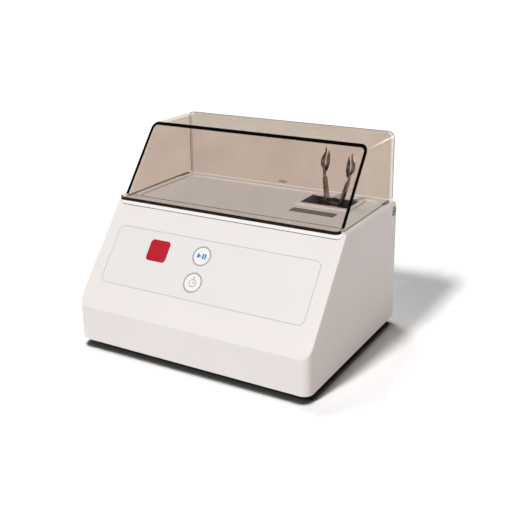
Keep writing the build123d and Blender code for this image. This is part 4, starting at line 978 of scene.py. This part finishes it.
@dataclass
class PowerEntry:
    """The inlet, the rocker switch and the power board."""

    bench: Bench
    solids: tuple[str, ...] = (
        "power_inlet", "inlet_pins", "switch_frame", "rocker_switch", "standoffs", "power_board",
        "power_transformer", "capacitors", "heat_sink", "mains_fuse",
    )

    def build(self) -> None:
        """Dress the power parts."""
        self.bench.dress(self.solids)


# ---------------------------------------------------------------- studio
@dataclass(frozen=True)
class Lamp:
    """A far, soft lamp: how much light it gives, where it stands from the object, and how wide it looks."""

    name: str
    share: float
    stands: tuple[float, float, float]
    softness: float
    colour: Colour = (1.0, 1.0, 1.0)

    def hang(self) -> None:
        """Put the lamp into the scene."""
        data = bpy.data.lights.new(self.name, "SUN")
        data.energy = self.share * math.pi
        data.angle = math.radians(self.softness)
        data.color = self.colour
        lamp = bpy.data.objects.new(self.name, data)
        lamp.rotation_euler = Vector(self.stands).to_track_quat("Z", "Y").to_euler()
        bpy.context.scene.collection.objects.link(lamp)


@dataclass
class Studio:
    """Floor, lamps, plain surround and camera, whose focal length and axis are in the frame's pixels."""

    frame_side: float = 515.0
    focal: float = 832.3
    sensor: float = 36.0
    sight: float = 100.0
    axis: tuple[float, float] = (270.2, 204.8)
    stand: tuple[float, float, float] = (0.3858, -0.6275, 0.3512)
    forward: tuple[float, float, float] = (-0.4689, 0.8348, -0.2887)
    up: tuple[float, float, float] = (-0.1356, 0.2549, 0.9574)
    floor_half: float = 12.0
    surround: float = 0.08  # strength of the even light, which is 1 where it is seen
    lamps: tuple[Lamp, ...] = (
        Lamp("key_lamp", share=0.79, stands=(-0.16, -0.74, 0.65), softness=9.0),
        Lamp("top_lamp", share=0.24, stands=(-0.42, 0.26, 0.87), softness=20.0),
        Lamp("side_fill", share=0.18, stands=(0.98, -0.15, 0.06), softness=8.0, colour=(1.0, 0.83, 0.79)),
        Lamp("rear_fill", share=0.14, stands=(0.36, 0.92, 0.05), softness=8.0, colour=(1.0, 0.95, 0.92)),
    )

    def build(self, finishes: FinishStore) -> None:
        """Set up the studio.

        Args:
            finishes: Where the floor's finish comes from.
        """
        self.floor(finishes)
        for lamp in self.lamps:
            lamp.hang()
        self.world()
        self.camera()
        bpy.context.scene.view_settings.view_transform = "Standard"

    def floor(self, finishes: FinishStore) -> None:
        """Lay the pale floor.

        Args:
            finishes: Where its finish comes from.
        """
        half = self.floor_half
        corners = [(-half, -half, 0), (half, -half, 0), (half, half, 0), (-half, half, 0)]
        mesh = bpy.data.meshes.new("studio_floor")
        mesh.from_pydata(corners, [], [(0, 1, 2, 3)])
        mesh.materials.append(finishes.get(FloorSheet()))
        sheet = bpy.data.objects.new("studio_floor", mesh)
        bpy.context.scene.collection.objects.link(sheet)

    def world(self) -> None:
        """Make the surround: an even light, and plain white where it is seen or mirrored."""
        world = bpy.data.worlds.new("surround")
        world.use_nodes = True
        tree = world.node_tree
        tree.nodes.clear()
        rays = tree.nodes.new("ShaderNodeLightPath")
        seen = rays.outputs["Is Camera Ray"]
        for kind in ("Is Glossy Ray", "Is Transmission Ray"):
            both = tree.nodes.new("ShaderNodeMath")
            both.operation = "MAXIMUM"
            tree.links.new(seen, both.inputs[0])
            tree.links.new(rays.outputs[kind], both.inputs[1])
            seen = both.outputs[0]
        level = tree.nodes.new("ShaderNodeMapRange")
        level.inputs["To Min"].default_value = self.surround
        level.inputs["To Max"].default_value = 1.0
        tree.links.new(seen, level.inputs["Value"])
        light = tree.nodes.new("ShaderNodeBackground")
        light.inputs["Color"].default_value = (1.0, 1.0, 1.0, 1.0)
        tree.links.new(level.outputs[0], light.inputs["Strength"])
        output = tree.nodes.new("ShaderNodeOutputWorld")
        tree.links.new(light.outputs[0], output.inputs["Surface"])
        bpy.context.scene.world = world

    def camera(self) -> None:
        """Set the camera where it sees the front, the right side and the deck."""
        data = bpy.data.cameras.new("camera")
        data.sensor_width = self.sensor
        data.lens = self.focal / self.frame_side * data.sensor_width
        data.shift_x = (self.frame_side / 2 - self.axis[0]) / self.frame_side
        data.shift_y = (self.axis[1] - self.frame_side / 2) / self.frame_side
        data.clip_end = self.sight
        camera = bpy.data.objects.new("camera", data)
        forward, up = Vector(self.forward).normalized(), Vector(self.up).normalized()
        right = forward.cross(up).normalized()
        turn = Matrix((right, right.cross(forward), -forward)).transposed()
        camera.matrix_world = Matrix.Translation(self.stand) @ turn.to_4x4()
        bpy.context.scene.collection.objects.link(camera)
        bpy.context.scene.camera = camera


def main() -> None:
    """Load the part, dress it and light it."""
    logging.basicConfig(level=logging.INFO, format="%(name)s: %(message)s")
    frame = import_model()
    bench = Bench(frame["nodes"], FinishStore())
    assemblies: tuple[type, ...] = (Enclosure, Hood, ControlPanel, ForkDrive, MotorPack, PowerEntry)
    for assembly in assemblies:
        assembly(bench).build()
    Studio().build(bench.finishes)


if __name__ == "__main__":
    main()
